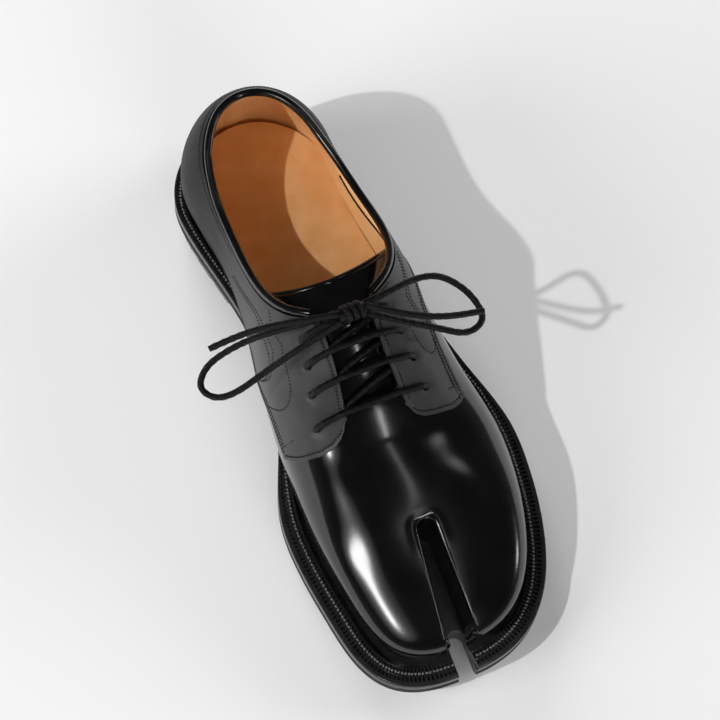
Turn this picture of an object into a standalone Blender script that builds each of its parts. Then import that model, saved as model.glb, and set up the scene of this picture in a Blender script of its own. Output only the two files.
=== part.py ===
# Split toe derby shoe, left foot: welted rubber sole, hollow upper with a cleft toe, tongue, insole
# and laces.
# Sizes are in millimetres. Stations run along the shoe from the back of the heel (0) to the toe.
# Across, x is measured from the line between heel and cleft: plus is the outer (lateral) side.

import bmesh
import bpy
import numpy as np

MM = 0.001
GAP = 0.3                # clearance between pieces that touch
LATERAL, MEDIAL = 1, -1

SOLE_LENGTH = 290.0
HEEL_ROUND = 41.0        # station where the heel's round end begins
TOE_START = 213.0        # station where the toe's round end begins
HEEL_POWER = 2.05        # roundness of the heel's plan: 2 is an ellipse, more is squarer
TOE_POWER = 2.6
WALL = 2.0               # upper and its lining
QUARTER = 1.2            # leather of the quarters laid on the upper
QUARTER_LIFT = 0.7       # from the upper's skin to the under side of the quarters
WELT_THICK = 4.3
MIDSOLE_THICK = 4.8
WELT_SEAT = 14.0         # width of the welt from its outer edge to the midsole's platform
MIDSOLE_INSET = 0.8
TREAD_TAPER = 2.5        # the tread's under side stands in from its edge
INSOLE_LIFT = 0.1        # over the welt's top, which is GAP over the platform
INSOLE_ROOM = 1.7        # between the insole's edge and the upper's wall
TONGUE_DEPTH = WALL + 1.1  # from the upper's skin to the tongue's face
TONGUE_THICK = 1.6
TONGUE_DIP = 6.0         # hollow of the tongue's top edge
BINDING_RADIUS = 2.0     # rolled edge along the collar
BINDING_STANDOFF = 0.6   # from the upper's rim to the rolled edge
LACE_RADIUS = 1.5
LACE_LIFT = QUARTER_LIFT + QUARTER + LACE_RADIUS + 1.0
CROSSING_REACH = 6.5     # half the width of a crossing under the bars
CROSSING_DROP = 1.0      # and how far it lies under them

ROOT = 228.3             # centre of the cleft's round end
ROOT_RADIUS = 4.2
ROOT_BLEND = 8.0         # run over which the cleft's floor takes its own width
CLEFT_FLARE = 0.066      # growth of the cleft's half width for each millimetre towards the toe
CLEFT_FLOOR = 4.2        # half width of the cleft at the sole
CLEFT_AXIS = 3.4         # x of the cleft's axis at its root
CLEFT_DRIFT = -0.06      # drift of that axis for each millimetre towards the toe
SLOT_END = 273.0         # the notch in the sole begins here and runs out at the toe
THROAT_ROUND = 165.0     # the opening between the facings rounds off from here
THROAT_END = 171.0       # to its bottom
FACING_TOP = 138.0       # the collar's line has turned into the facing here
CORNER_BLEND = 14        # sharpness of that turn


def table(columns, *rows):
    return {name: np.array([row[i] for row in rows], float) for i, name in enumerate(columns.split())}


SOLE = table(
    "station centre half_width welt_top",
    (0, -0.5, 39.0, 25.5),
    (45, -0.5, 39.2, 25.2),
    (88, 5.0, 36.9, 23.2),
    (118, 9.6, 39.3, 20.0),
    (155, 10.5, 47.8, 16.6),
    (188, 8.0, 58.0, 15.3),
    (207, 6.8, 58.6, 15.2),
    (241, 5.0, 55.3, 15.8),
    (290, -2.5, 56.0, 19.5),
)

# Gaps between the lugs on each side of the tread: stations, then width, height and depth from the edge.
LUGS = table(
    "first last count width height depth",
    (20, 65, 4, 5.0, 5.5, 9.0),
    (172, 262, 7, 4.0, 3.2, 7.0),
)

# Under side of the tread: heel block, arch, flat ball and toe spring.
TREAD = table(
    "station height",
    (0, 1.2), (7, 0), (78, 0), (83, 7.5), (104, 9.0), (135, 6.0), (158, 0), (218, 0),
    (246, 1.0), (270, 3.0), (290, 5.6),
)

# The insole: a cushion under the heel, and the share of the upper's tuck that its top edge keeps clear of.
INSOLE = table(
    "station thickness clear",
    (0, 14.0, 0.2), (70, 14.0, 0.2), (120, 9.0, 0.4), (175, 3.2, 1.0), (290, 3.2, 1.0),
)

# The last: how far the upper's widest line stands inside the sole's edge, how far it is shifted sideways
# on the sole, how high that line runs over the welt, how far the wall tucks in below it, and the arch
# above it (height, fullness and sideways lean of its crest).
LAST = table(
    "station inset shift rise tuck crown fullness lean",
    (0, 5.0, 0, 19, 2.5, 58, 2.0, 0),
    (28, 5.0, 0, 19, 2.5, 53, 2.0, 0),
    (50, 5.0, 0, 19, 3.0, 57, 2.0, -1),
    (72, 4.2, -0.3, 19, 3.5, 74, 2.0, -3.3),
    (95, 1.4, -2.0, 19, 5.0, 76, 2.0, -4.5),
    (118, 0.0, -4.5, 18, 6.0, 67, 2.0, -5.3),
    (140, 0.5, -6.2, 16, 6.0, 57, 2.0, -4.3),
    (162, 4.2, -5.0, 13, 5.0, 47, 2.05, -4.8),
    (185, 8.6, -1.2, 11, 3.5, 33.0, 2.15, -7.0),
    (205, 9.6, 0, 10.5, 3.0, 28.8, 2.3, -4),
    (219, 9.8, 0, 10.5, 3.0, 25.0, 2.6, -2.4),
    (242, 10.0, 0, 10.5, 3.0, 18.9, 2.55, -1.0),
    (266, 10.2, 0, 10.5, 3.0, 17.8, 2.1, -0.4),
    (290, 10.5, 0, 10.5, 3.0, 18.0, 2.5, 0),
)

COLLAR = table(
    "station height",
    (0, 86), (20, 84.5), (40, 79), (60, 73), (80, 71), (98, 75), (114, 82), (133, 93), (170, 116),
)
THROAT = table("station half_gap", (110, 14), (140, 11.0), (160, 11.5), (178, 14.5))

# Lower edge of the quarters as an angle on the upper's arch, and their front edge from that lower edge
# (0) up to the throat (1).
QUARTER_FOOT = table(
    "station medial lateral",
    (0, -62, -62), (60, -58, -50), (95, -40, -5), (125, -8, 26), (150, 11, 36), (180, 15, 38),
)
QUARTER_FRONT = table(
    "share medial lateral",
    (0.0, 169.5, 176.5), (0.15, 173.0, 179.5), (0.35, 176.3, 181.7), (0.65, 178.8, 182.0),
    (0.95, 179.0, 179.5), (1.0, 178.8, 179.0),
)

TONGUE = table(
    "station half_share crest",
    (107, 0.88, 88), (122, 0.83, 90), (138, 0.76, 91.5), (155, 0.70, 200), (190, 0.62, 200),
)

EYELETS = table("station reach", (172.0, 26.0), (159.5, 24.0), (148.5, 22.0), (138.5, 20.5))

# Routes of the bow: station, x and height of points along the lace, from the knot and back to it or to
# its end.
MEDIAL_LOOP = (
    (137.2, -3.7, 99), (135, -22, 96), (131, -40, 88.5), (130, -55, 80.5), (133, -65, 74.5),
    (138, -68, 72.5), (144, -65, 72.5), (147, -56, 75.5), (146, -45, 80.5), (144, -25, 91), (142, -3.7, 99),
)
MEDIAL_END = ((139.4, -4.0, 102.5), (135, -22, 100.5), (130, -41, 95), (128, -60, 87.5))
LATERAL_LOOP = (
    (137.2, 8.2, 99), (136, 21, 98.5), (133.5, 36, 94.5), (134.5, 46, 90.5), (140, 54, 85.5),
    (149, 59, 81.5), (157, 58.5, 79.5), (160, 52, 79.5), (157, 41, 83.5), (150, 25, 91.5), (142, 8.2, 99),
)
LATERAL_END = ((139.6, 8.5, 102.5), (149, 24, 100), (154, 39, 94.5), (156, 59, 87.5))
KNOT = ((139.5, -3.0, 100), (139.5, 2.2, 100.4), (139.5, 7.5, 100))
KNOT_RADIUS = 4.0


def curve_of(rows, column):
    """Natural cubic spline through one column of a table."""
    at, value = rows["station"], rows[column]
    step = np.diff(at)
    count = len(at)
    system = np.eye(count)
    right = np.zeros(count)
    for i in range(1, count - 1):
        system[i, i - 1:i + 2] = step[i - 1], 2 * (step[i - 1] + step[i]), step[i]
        right[i] = 6 * ((value[i + 1] - value[i]) / step[i] - (value[i] - value[i - 1]) / step[i - 1])
    bend = np.linalg.solve(system, right)

    def evaluate(s):
        s = np.clip(np.asarray(s, float), at[0], at[-1])
        i = np.clip(np.searchsorted(at, s, side="right") - 1, 0, count - 2)
        before, after, h = s - at[i], at[i + 1] - s, step[i]
        cubic = (bend[i] * after ** 3 + bend[i + 1] * before ** 3) / (6 * h)
        rest = (value[i] / h - bend[i] * h / 6) * after
        return cubic + rest + (value[i + 1] / h - bend[i + 1] * h / 6) * before

    return evaluate


centre, half_width, welt_top = (curve_of(SOLE, name) for name in ("centre", "half_width", "welt_top"))
inset, shift, rise, tuck, crown, fullness, lean = (
    curve_of(LAST, name) for name in ("inset", "shift", "rise", "tuck", "crown", "fullness", "lean")
)
collar_height = curve_of(COLLAR, "height")
half_gap = curve_of(THROAT, "half_gap")


def steady(value):
    return lambda s: np.full(np.shape(s), float(value))


def tread(s):
    return np.interp(s, TREAD["station"], TREAD["height"])


def cleft_axis(s):
    return CLEFT_AXIS + CLEFT_DRIFT * (s - ROOT)


def cleft_half(s):
    return ROOT_RADIUS + CLEFT_FLARE * np.maximum(s - ROOT, 0)


# Plan of the sole

def heel_arc(angle, inner):
    """Station and share of the half width on the heel's round end, 90 degrees being its back."""
    turn = np.radians(angle)
    reach = HEEL_ROUND - inner(0.0)
    return HEEL_ROUND - reach * np.sin(turn) ** (2 / HEEL_POWER), np.cos(turn) ** (2 / HEEL_POWER)


def toe_arc(angle, inner):
    turn = np.radians(angle)
    reach = SOLE_LENGTH - inner(SOLE_LENGTH) - TOE_START
    return TOE_START + reach * np.sin(turn) ** (2 / TOE_POWER), np.cos(turn) ** (2 / TOE_POWER)


def plan_rows(inner, heel_angles, flank, toe_angles):
    """Rows of (station, medial x, lateral x) of an outline that lies inside the sole's edge by inner(s)."""
    rows = [heel_arc(a, inner) for a in heel_angles]
    rows += [(s, 1.0) for s in flank]
    rows += [toe_arc(a, inner) for a in toe_angles]
    s = np.array([row[0] for row in rows])
    reach = np.array([row[1] for row in rows]) * (half_width(s) - inner(s))
    return s, centre(s) - reach, centre(s) + reach


ROUND_ANGLES = np.linspace(2, 90, 60)
_, MEDIAL_EDGE, LATERAL_EDGE = plan_rows(
    steady(0), ROUND_ANGLES[::-1], np.linspace(HEEL_ROUND, TOE_START, 400), ROUND_ANGLES,
)
AXIS_SHIFT = (MEDIAL_EDGE.min() + LATERAL_EDGE.max()) / 2
SOLE_HEEL = np.array([86, 74, 62, 50, 37, 24, 11])
SOLE_FLANK = np.array([41, 54, 66, 77, 83.5, 93, 104, 119, 135, 146, 158, 170, 182, 194, 206, 218])
SOLE_TOE = np.array([22, 30, 38, 46, 54, 62, 69, 75, 80, 84, 87])


def place(s, x, z):
    """Shoe stations to the part's frame in metres: toe towards -Y, box centred on the origin."""
    s, x, z = np.broadcast_arrays(s, x, z)
    return np.stack([(x - AXIS_SHIFT) * MM, (SOLE_LENGTH / 2 - s) * MM, z * MM], axis=-1)


# Scene helpers

for leftover in list(bpy.data.objects):
    bpy.data.objects.remove(leftover, do_unlink=True)

shoe = bpy.data.collections.new("split_toe_derby_shoe")
cutters = bpy.data.collections.new("cutters")
for collection in (shoe, cutters):
    bpy.context.scene.collection.children.link(collection)


def material(name, colour, roughness):
    made = bpy.data.materials.new(name)
    made.use_nodes = True
    shader = made.node_tree.nodes["Principled BSDF"]
    shader.inputs["Base Color"].default_value = (*colour, 1.0)
    shader.inputs["Roughness"].default_value = roughness
    shader.inputs["Metallic"].default_value = 0.0
    return made


POLISHED = material("polished_black_leather", (0.006, 0.006, 0.007), 0.12)
TAN = material("tan_lining_leather", (0.50, 0.25, 0.10), 0.45)
RUBBER = material("black_rubber", (0.016, 0.016, 0.017), 0.42)
WAXED = material("waxed_black_lace", (0.010, 0.010, 0.010), 0.5)


def add(name, mesh, finish, collection=None):
    piece = bpy.data.objects.new(name, mesh)
    (collection or shoe).objects.link(piece)
    if finish:
        mesh.materials.append(finish)
    if collection is cutters:
        piece.hide_render = True
        piece.display_type = "WIRE"
    return piece


def mesh_from(name, points, faces, merge=0.02):
    """Mesh in metres with doubled points merged and faces pointing out."""
    mesh = bpy.data.meshes.new(name)
    mesh.from_pydata([tuple(p) for p in points], [], [tuple(f) for f in faces])
    shape = bmesh.new()
    shape.from_mesh(mesh)
    bmesh.ops.remove_doubles(shape, verts=shape.verts, dist=merge * MM)
    bmesh.ops.recalc_face_normals(shape, faces=shape.faces)
    shape.to_mesh(mesh)
    shape.free()
    mesh.shade_smooth()
    mesh.set_sharp_from_angle(angle=np.radians(40))
    return mesh


def strip_faces(rows, columns, start=0, close=False):
    """Quads between neighbouring points of a grid stored row by row."""
    faces = []
    for r in range(rows - 1):
        for c in range(columns if close else columns - 1):
            n = (c + 1) % columns
            a, b = start + r * columns, start + (r + 1) * columns
            faces.append((a + c, a + n, b + n, b + c))
    return faces


def slab_mesh(name, plan, top, bottom, under=None):
    """Closed solid between two heights over an outline given as rows across the shoe.

    The under side can have an outline of its own."""
    s, medial, lateral = plan
    s_under, medial_under, lateral_under = under or plan
    corners = (
        (s, medial, top), (s, lateral, top),
        (s_under, lateral_under, bottom), (s_under, medial_under, bottom),
    )
    points = np.stack([place(at, x, height(at)) for at, x, height in corners], axis=1).reshape(-1, 3)
    faces = strip_faces(len(s), 4, close=True)
    last = 4 * (len(s) - 1)
    faces += [(3, 2, 1, 0), (last, last + 1, last + 2, last + 3)]
    return mesh_from(name, points, faces)


def combine(piece, other, operation):
    tool = piece.modifiers.new(f"{operation.lower()}_{other.name}", "BOOLEAN")
    tool.operation = operation
    tool.solver = "EXACT"
    tool.object = other


def thicken(piece, thickness, offset):
    wall = piece.modifiers.new("wall", "SOLIDIFY")
    wall.thickness = thickness * MM
    wall.offset = offset
    wall.use_even_offset = True
    wall.use_quality_normals = True


# The last's surface

def middle(s):
    return centre(s) + shift(s)


def plan_share(s, x):
    """0 on the crest line, 1 on the upper's widest line."""
    reach = half_width(s) - inset(s)
    toe = np.maximum(s - TOE_START, 0) / (SOLE_LENGTH - inset(SOLE_LENGTH) - TOE_START)
    heel = np.maximum(HEEL_ROUND - s, 0) / (HEEL_ROUND - inset(0.0))
    power = np.where(s > (HEEL_ROUND + TOE_START) / 2, TOE_POWER, HEEL_POWER)
    share = np.zeros(np.shape(s))
    for _ in range(14):
        across = np.abs(x - middle(s) - lean(s) * (1 - np.minimum(share, 1) ** 2)) / reach
        share = (across ** power + (toe + heel) ** power) ** (1 / power)
    return share


def foot_line(s):
    return welt_top(s) + GAP


def arch_height(s, share):
    n = fullness(s)
    return foot_line(s) + rise(s) + crown(s) * (1 - np.minimum(share, 1) ** n) ** (1 / n)


def rib(outer, inner, angles):
    """Points of the surface over the straight plan line from the widest line to an inner point.

    Angles below zero are the tuck under the widest line, 90 is the crest."""
    steps = np.linspace(0, 1, 240)
    s = outer[0] + steps * (inner[0] - outer[0])
    x = outer[1] + steps * (inner[1] - outer[1])
    share = np.minimum.accumulate(np.minimum(plan_share(s, x), 1.0))
    turn = np.radians(angles)
    power = 2 / fullness(outer[0])
    tuck_share = tuck(outer[0]) / max(half_width(outer[0]) - inset(outer[0]), 1.0)
    wanted = np.where(turn < 0, 1 - tuck_share * np.sin(turn) ** 2, np.cos(np.maximum(turn, 0)) ** power)
    along = np.interp(-wanted, -share - 1e-9 * (1 - steps), steps)
    s_at, x_at = np.interp(along, steps, s), np.interp(along, steps, x)
    low = foot_line(s_at) + rise(s_at) * (1 + np.sin(np.minimum(turn, 0)))
    return s_at, x_at, np.where(turn < 0, low, arch_height(s_at, wanted))


def crest_x(s):
    return middle(s) + lean(s)


def closed_angle(point):
    """Angle at which a rib meets an inner point."""
    share = float(plan_share(np.array([point[0]]), np.array([point[1]]))[0])
    return np.degrees(np.arccos(min(share, 1.0) ** (fullness(point[0]) / 2)))


def open_angle(s, close=1.0):
    """Angle of the top edge: the collar's height or the throat's gap, blended at the facing's corner."""
    n = fullness(s)
    climb = np.clip((collar_height(s) - foot_line(s) - rise(s)) / crown(s), 0.01, 0.999)
    by_collar = np.degrees(np.arcsin(climb ** (n / 2)))
    by_gap = np.degrees(np.arccos((half_gap(s) * close / (half_width(s) - inset(s))) ** (n / 2)))
    return (by_collar ** -CORNER_BLEND + by_gap ** -CORNER_BLEND) ** (-1 / CORNER_BLEND)


def throat_close(s):
    """1 along the facings, falling to 0 at the bottom of the throat."""
    return (1 - np.clip((s - THROAT_ROUND) / (THROAT_END - THROAT_ROUND), 0, 1) ** 4) ** 0.25


def flank_ends(s, side):
    return (s, float(middle(s) + side * (half_width(s) - inset(s)))), (s, float(crest_x(s)))


def heel_ends(angle, side):
    s, share = heel_arc(angle, inset)
    outer = (s, float(middle(s) + side * share * (half_width(s) - inset(s))))
    return outer, (HEEL_ROUND, float(crest_x(HEEL_ROUND)))


def resample(path, count):
    """Evenly spaced points along a plan path."""
    run = np.concatenate([[0], np.cumsum(np.hypot(*np.diff(path, axis=0).T))])
    at = np.linspace(0, run[-1], count)
    return np.stack([np.interp(at, run, path[:, i]) for i in (0, 1)], axis=1)


def lobe_ends(side, count):
    """Outer and inner ends of the ribs of one toe lobe, from behind the cleft to its front corner."""
    s = np.linspace(ROOT, SOLE_LENGTH, 600)
    lip = cleft_axis(s) + side * cleft_half(s)
    inside = plan_share(s, lip) < 1
    turn = np.radians(np.linspace(0, 90, 20))[:-1]
    across = cleft_axis(ROOT) + side * ROOT_RADIUS * np.sin(turn)
    root = np.stack([ROOT - ROOT_RADIUS * np.cos(turn), across], axis=1)
    inner = np.concatenate([root, np.stack([s, lip], axis=1)[inside]])
    arc_s, arc_share = toe_arc(np.linspace(2, 90, 400), inset)
    edge = middle(arc_s) + side * arc_share * (half_width(arc_s) - inset(arc_s))
    beyond = side * (edge - cleft_axis(arc_s)) > cleft_half(arc_s)
    outer = np.concatenate([np.stack([arc_s, edge], axis=1)[beyond], inner[-1:]])
    return resample(outer, count), resample(inner, count)


TUCK_ANGLES = [-90, -40]
ARCH_STEPS = 9
UPPER_HEEL = [90, 74, 58, 42, 28, 14]
UPPER_OPEN = [
    41, 52, 63, 74, 85, 95, 104, 112, 119, 124, 128, 131.5, 135, FACING_TOP, 147, 156, 164, 168.4, 170.4,
]
UPPER_CLOSED = [THROAT_END, 179, 187, 196, 205, 214]
LOBE_RIBS = 17
BACK_SEAM = 89.6         # the two quarters end just short of the middle of the heel
INNER_AXIS = 38.0        # height of a line well inside the upper


def rib_angles(top):
    return np.concatenate([TUCK_ANGLES, np.linspace(0, top, ARCH_STEPS + 1)])


def upper_side(side):
    """Grid of the outer skin on one side, heel to toe, and the rows of the cleft's wall."""
    rows = []
    for angle in UPPER_HEEL:
        outer, inner = heel_ends(angle, side)
        rows.append(rib(outer, inner, rib_angles(open_angle(outer[0]))))
    for s in UPPER_OPEN:
        rows.append(rib(*flank_ends(s, side), rib_angles(open_angle(s, throat_close(s)))))
    for s in UPPER_CLOSED:
        rows.append(rib(*flank_ends(s, side), rib_angles(90)))
    wall = []
    for outer, inner in zip(*lobe_ends(side, LOBE_RIBS)):
        row = np.array(rib(outer, inner, rib_angles(closed_angle(inner))))
        if len(wall) == LOBE_RIBS - 1:
            floor_x = cleft_axis(inner[0]) + side * CLEFT_FLOOR
            share = np.array([0.0, 0.5])
            row[1, :2] = floor_x + share * (inner[1] - floor_x)
        rows.append(row)
        lip = row[:, -1]
        floor_s = lip[0]
        if lip[0] < ROOT:
            away = (lip[0] - ROOT, lip[1] - cleft_axis(ROOT))
            scale = min(CLEFT_FLOOR, ROOT_RADIUS) / ROOT_RADIUS
            foot = (ROOT + away[0] * scale, cleft_axis(ROOT) + away[1] * scale)
        else:
            grow = np.clip((lip[0] - ROOT) / ROOT_BLEND, 0, 1)
            half = ROOT_RADIUS + (CLEFT_FLOOR - ROOT_RADIUS) * grow
            foot = (floor_s, cleft_axis(floor_s) + side * half)
        if len(wall) == LOBE_RIBS - 1:
            wall.append(row[:, [-1, 1, 0]])
        else:
            low = np.array([*foot, foot_line(foot[0])])
            wall.append(np.stack([lip, (lip + low) / 2, low], axis=1))
    return np.array(rows), np.array(wall)


def upper_skin():
    points, faces = [], []
    start = 0
    for side in (LATERAL, MEDIAL):
        skin, wall = upper_side(side)
        for grid in (skin, wall):
            count, _, columns = grid.shape
            block = place(grid[:, 0], grid[:, 1], grid[:, 2]).reshape(-1, 3)
            made = strip_faces(count, columns, start)
            flip = (side == LATERAL) == (grid is skin)
            faces += [f[::-1] for f in made] if flip else made
            points.append(block)
            start += len(block)
    return np.concatenate(points), faces


# Sole

def notch_mesh(name, begin, half, front_half, low, high):
    """Slot with a round inner end that runs out at the toe."""
    turn = np.radians(np.linspace(-90, 90, 9))
    arc = np.stack([begin - half * np.cos(turn), cleft_axis(begin) + half * np.sin(turn)], axis=1)
    front = SOLE_LENGTH + WELT_SEAT
    ends = [[front, cleft_axis(front) + front_half], [front, cleft_axis(front) - front_half]]
    path = np.concatenate([arc, ends])
    count = len(path)
    points = np.concatenate([place(path[:, 0], path[:, 1], low), place(path[:, 0], path[:, 1], high)])
    faces = [tuple(range(count)), tuple(range(2 * count - 1, count - 1, -1))]
    faces += [(i, (i + 1) % count, count + (i + 1) % count, count + i) for i in range(count)]
    return mesh_from(name, points, faces)


def plan_limit(s):
    """Share of the half width that the sole reaches at a station."""
    heel = np.clip((HEEL_ROUND - s) / HEEL_ROUND, 0, 1) ** HEEL_POWER
    toe = np.clip((s - TOE_START) / (SOLE_LENGTH - TOE_START), 0, 1) ** TOE_POWER
    return (1 - heel) ** (1 / HEEL_POWER) * (1 - toe) ** (1 / TOE_POWER)


def lug_cutter():
    """Gaps between the lugs around the heel and the forefoot, cut up from the tread."""
    shape = bmesh.new()
    for first, last, count, width, height, depth in zip(*LUGS.values()):
        for s in np.linspace(first, last, int(count)):
            for side in (LATERAL, MEDIAL):
                edge = centre(s) + side * plan_limit(s) * half_width(s)
                cube = bmesh.ops.create_cube(shape, size=1.0)["verts"]
                bmesh.ops.scale(shape, vec=(2 * depth * MM, width * MM, 2 * height * MM), verts=cube)
                bmesh.ops.translate(shape, vec=place(s, edge, tread(s)), verts=cube)
    mesh = bpy.data.meshes.new("lug_gaps")
    shape.to_mesh(mesh)
    shape.free()
    return add("lug_gaps", mesh, None, cutters)


def build_sole():
    over = COLLAR["height"].min()
    slot = notch_mesh("sole_notch", SLOT_END, CLEFT_FLOOR, CLEFT_FLOOR, -over, over)
    slot = add("sole_notch", slot, None, cutters)
    outer = plan_rows(steady(0), SOLE_HEEL, SOLE_FLANK, SOLE_TOE)
    middle = plan_rows(steady(MIDSOLE_INSET), SOLE_HEEL, SOLE_FLANK, SOLE_TOE)
    platform = plan_rows(steady(WELT_SEAT), SOLE_HEEL, SOLE_FLANK, SOLE_TOE)
    seat = lambda s: welt_top(s) - WELT_THICK - GAP
    split = lambda s: seat(s) - MIDSOLE_THICK

    under = plan_rows(steady(TREAD_TAPER), SOLE_HEEL, SOLE_FLANK, SOLE_TOE)
    outsole = add("outsole", slab_mesh("outsole", outer, lambda s: split(s) - GAP, tread, under), RUBBER)
    combine(outsole, slot, "DIFFERENCE")
    combine(outsole, lug_cutter(), "DIFFERENCE")

    midsole = add("midsole", slab_mesh("midsole", middle, seat, split), RUBBER)
    raised = slab_mesh("midsole_platform", platform, lambda s: welt_top(s) - GAP, lambda s: seat(s) - 1)
    combine(midsole, add("midsole_platform", raised, None, cutters), "UNION")
    combine(midsole, slot, "DIFFERENCE")

    inner = plan_rows(steady(WELT_SEAT - GAP), SOLE_HEEL, SOLE_FLANK, SOLE_TOE)
    loops = []
    ring = ((outer, 0.0), (inner, 0.0), (inner, -WELT_THICK), (outer, -WELT_THICK))
    for (s, medial, lateral), height in ring:
        z = welt_top(s) + height
        loops.append(np.concatenate([place(s, lateral, z), place(s, medial, z)[::-1]]))
    count = len(loops[0])
    faces = strip_faces(4, count, close=True)
    faces += [(3 * count + i, 3 * count + (i + 1) % count, (i + 1) % count, i) for i in range(count)]
    welt = add("welt", mesh_from("welt", np.concatenate(loops), faces), RUBBER)
    combine(welt, slot, "DIFFERENCE")


build_sole()


# Upper and insole

def outward(mesh):
    """Turn an open sheet so that its faces look away from the inside of the shoe."""
    axis = place(SOLE_LENGTH / 2, crest_x(SOLE_LENGTH / 2), INNER_AXIS)
    width_and_height = np.array([1.0, 0.3, 1.0])
    facing = 0.0
    for face in mesh.polygons:
        away = (np.array(face.center) - axis) * width_and_height
        facing += face.area * float(np.dot(face.normal, away))
    if facing < 0:
        mesh.flip_normals()
    return mesh


upper = add("upper", outward(mesh_from("upper", *upper_skin())), POLISHED)
thicken(upper, WALL, -1)


def insole_plan(clear):
    """Outline of the insole where the upper's wall tucks in by a share of its full tuck."""
    inner = lambda s: inset(s) + clear(s) * tuck(s) + WALL + INSOLE_ROOM
    s, medial, lateral = plan_rows(inner, SOLE_HEEL, SOLE_FLANK, SOLE_TOE)
    share = (half_width(s) - inner(s)) / (half_width(s) - inset(s))
    sway = shift(s) + lean(s) * (1 - share ** 2)
    return s, medial + sway, lateral + sway


def build_insole():
    thickness = lambda s: np.interp(s, INSOLE["station"], INSOLE["thickness"])
    top_plan = insole_plan(lambda s: np.interp(s, INSOLE["station"], INSOLE["clear"]))
    low = lambda s: welt_top(s) + INSOLE_LIFT
    bed = slab_mesh("insole", top_plan, lambda s: low(s) + thickness(s), low, insole_plan(steady(1)))
    insole = add("insole", bed, TAN)
    room = WALL + INSOLE_ROOM
    front_half = cleft_half(SOLE_LENGTH) + room
    split = notch_mesh("insole_split", ROOT, ROOT_RADIUS + room, front_half, 0, COLLAR["height"].min())
    combine(insole, add("insole_split", split, None, cutters), "DIFFERENCE")


build_insole()


# Overlays: sheets that follow the upper's own function

def sheet_normals(grid):
    """Unit normals of a grid of points in millimetres, away from the inside of the shoe."""
    along, across = np.gradient(grid, axis=0), np.gradient(grid, axis=1)
    normal = np.cross(along, across)
    normal /= np.linalg.norm(normal, axis=-1, keepdims=True) + 1e-12
    middle = grid[grid.shape[0] // 2, grid.shape[1] // 2]
    inside = np.array([middle[0], crest_x(middle[0]), INNER_AXIS])
    if np.dot(normal[grid.shape[0] // 2, grid.shape[1] // 2], middle - inside) < 0:
        normal = -normal
    return normal


def sheet_object(name, grid, lift, thickness, grow, finish):
    """Solid sheet lifted off a surface grid by lift, and thickened outwards (1) or inwards (-1)."""
    grid = grid + sheet_normals(grid) * lift
    points = place(grid[..., 0], grid[..., 1], grid[..., 2]).reshape(-1, 3)
    mesh = outward(mesh_from(name, points, strip_faces(grid.shape[0], grid.shape[1])))
    piece = add(name, mesh, finish)
    thicken(piece, thickness, grow)
    return piece


def quarter_grid(side):
    share = np.linspace(0, 1, 10)
    name = "medial" if side == MEDIAL else "lateral"
    low = curve_of(QUARTER_FOOT, name)
    angles = lambda s: low(s) + share * (open_angle(s) - low(s))
    rows = []
    for angle in [BACK_SEAM] + UPPER_HEEL[1:]:
        outer, inner = heel_ends(angle, side)
        rows.append(np.stack(rib(outer, inner, angles(outer[0])), axis=-1))
    for s in [s for s in UPPER_OPEN if s <= FACING_TOP]:
        rows.append(np.stack(rib(*flank_ends(s, side), angles(s)), axis=-1))
    front = np.interp(share, QUARTER_FRONT["share"], QUARTER_FRONT[name])
    for step in np.linspace(0, 1, 7)[1:]:
        stations = FACING_TOP + step * (front - FACING_TOP)
        points = [np.ravel(rib(*flank_ends(s, side), [angles(s)[i]])) for i, s in enumerate(stations)]
        rows.append(np.array(points))
    return np.array(rows)


for side, name in ((MEDIAL, "quarter_medial"), (LATERAL, "quarter_lateral")):
    sheet_object(name, quarter_grid(side), QUARTER_LIFT, QUARTER, 1, POLISHED)


def tongue_grid():
    across = np.linspace(-1, 1, 13)
    rows = []
    for s in np.linspace(TONGUE["station"][0], TONGUE["station"][-1], 12):
        dip = TONGUE_DIP * np.clip((FACING_TOP - s) / (FACING_TOP - TONGUE["station"][0]), 0, 1)
        at = s + dip * (1 - across ** 2)
        half = np.interp(at, TONGUE["station"], TONGUE["half_share"])
        share = across * half
        x = middle(at) + lean(at) * (1 - share ** 2) + share * (half_width(at) - inset(at))
        edge = arch_height(at, half)
        crest = np.minimum(np.interp(at, TONGUE["station"], TONGUE["crest"]), arch_height(at, 0 * at))
        rows.append(np.stack([at, x, edge + (crest - edge) * (1 - across ** 2)], axis=-1))
    return np.array(rows)


sheet_object("tongue", tongue_grid(), -TONGUE_DEPTH, TONGUE_THICK, -1, POLISHED)


def tube(name, points, radius, finish, sides=2):
    """Round tube along a list of points in metres, with closed ends."""
    data = bpy.data.curves.new(name, "CURVE")
    data.dimensions = "3D"
    data.bevel_depth = radius * MM
    data.bevel_resolution = sides
    data.use_fill_caps = True
    path = data.splines.new("POLY")
    path.points.add(len(points) - 1)
    for point, place_at in zip(path.points, points):
        point.co = (*place_at, 1.0)
    piece = bpy.data.objects.new(name, data)
    shoe.objects.link(piece)
    data.materials.append(finish)
    return piece


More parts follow.
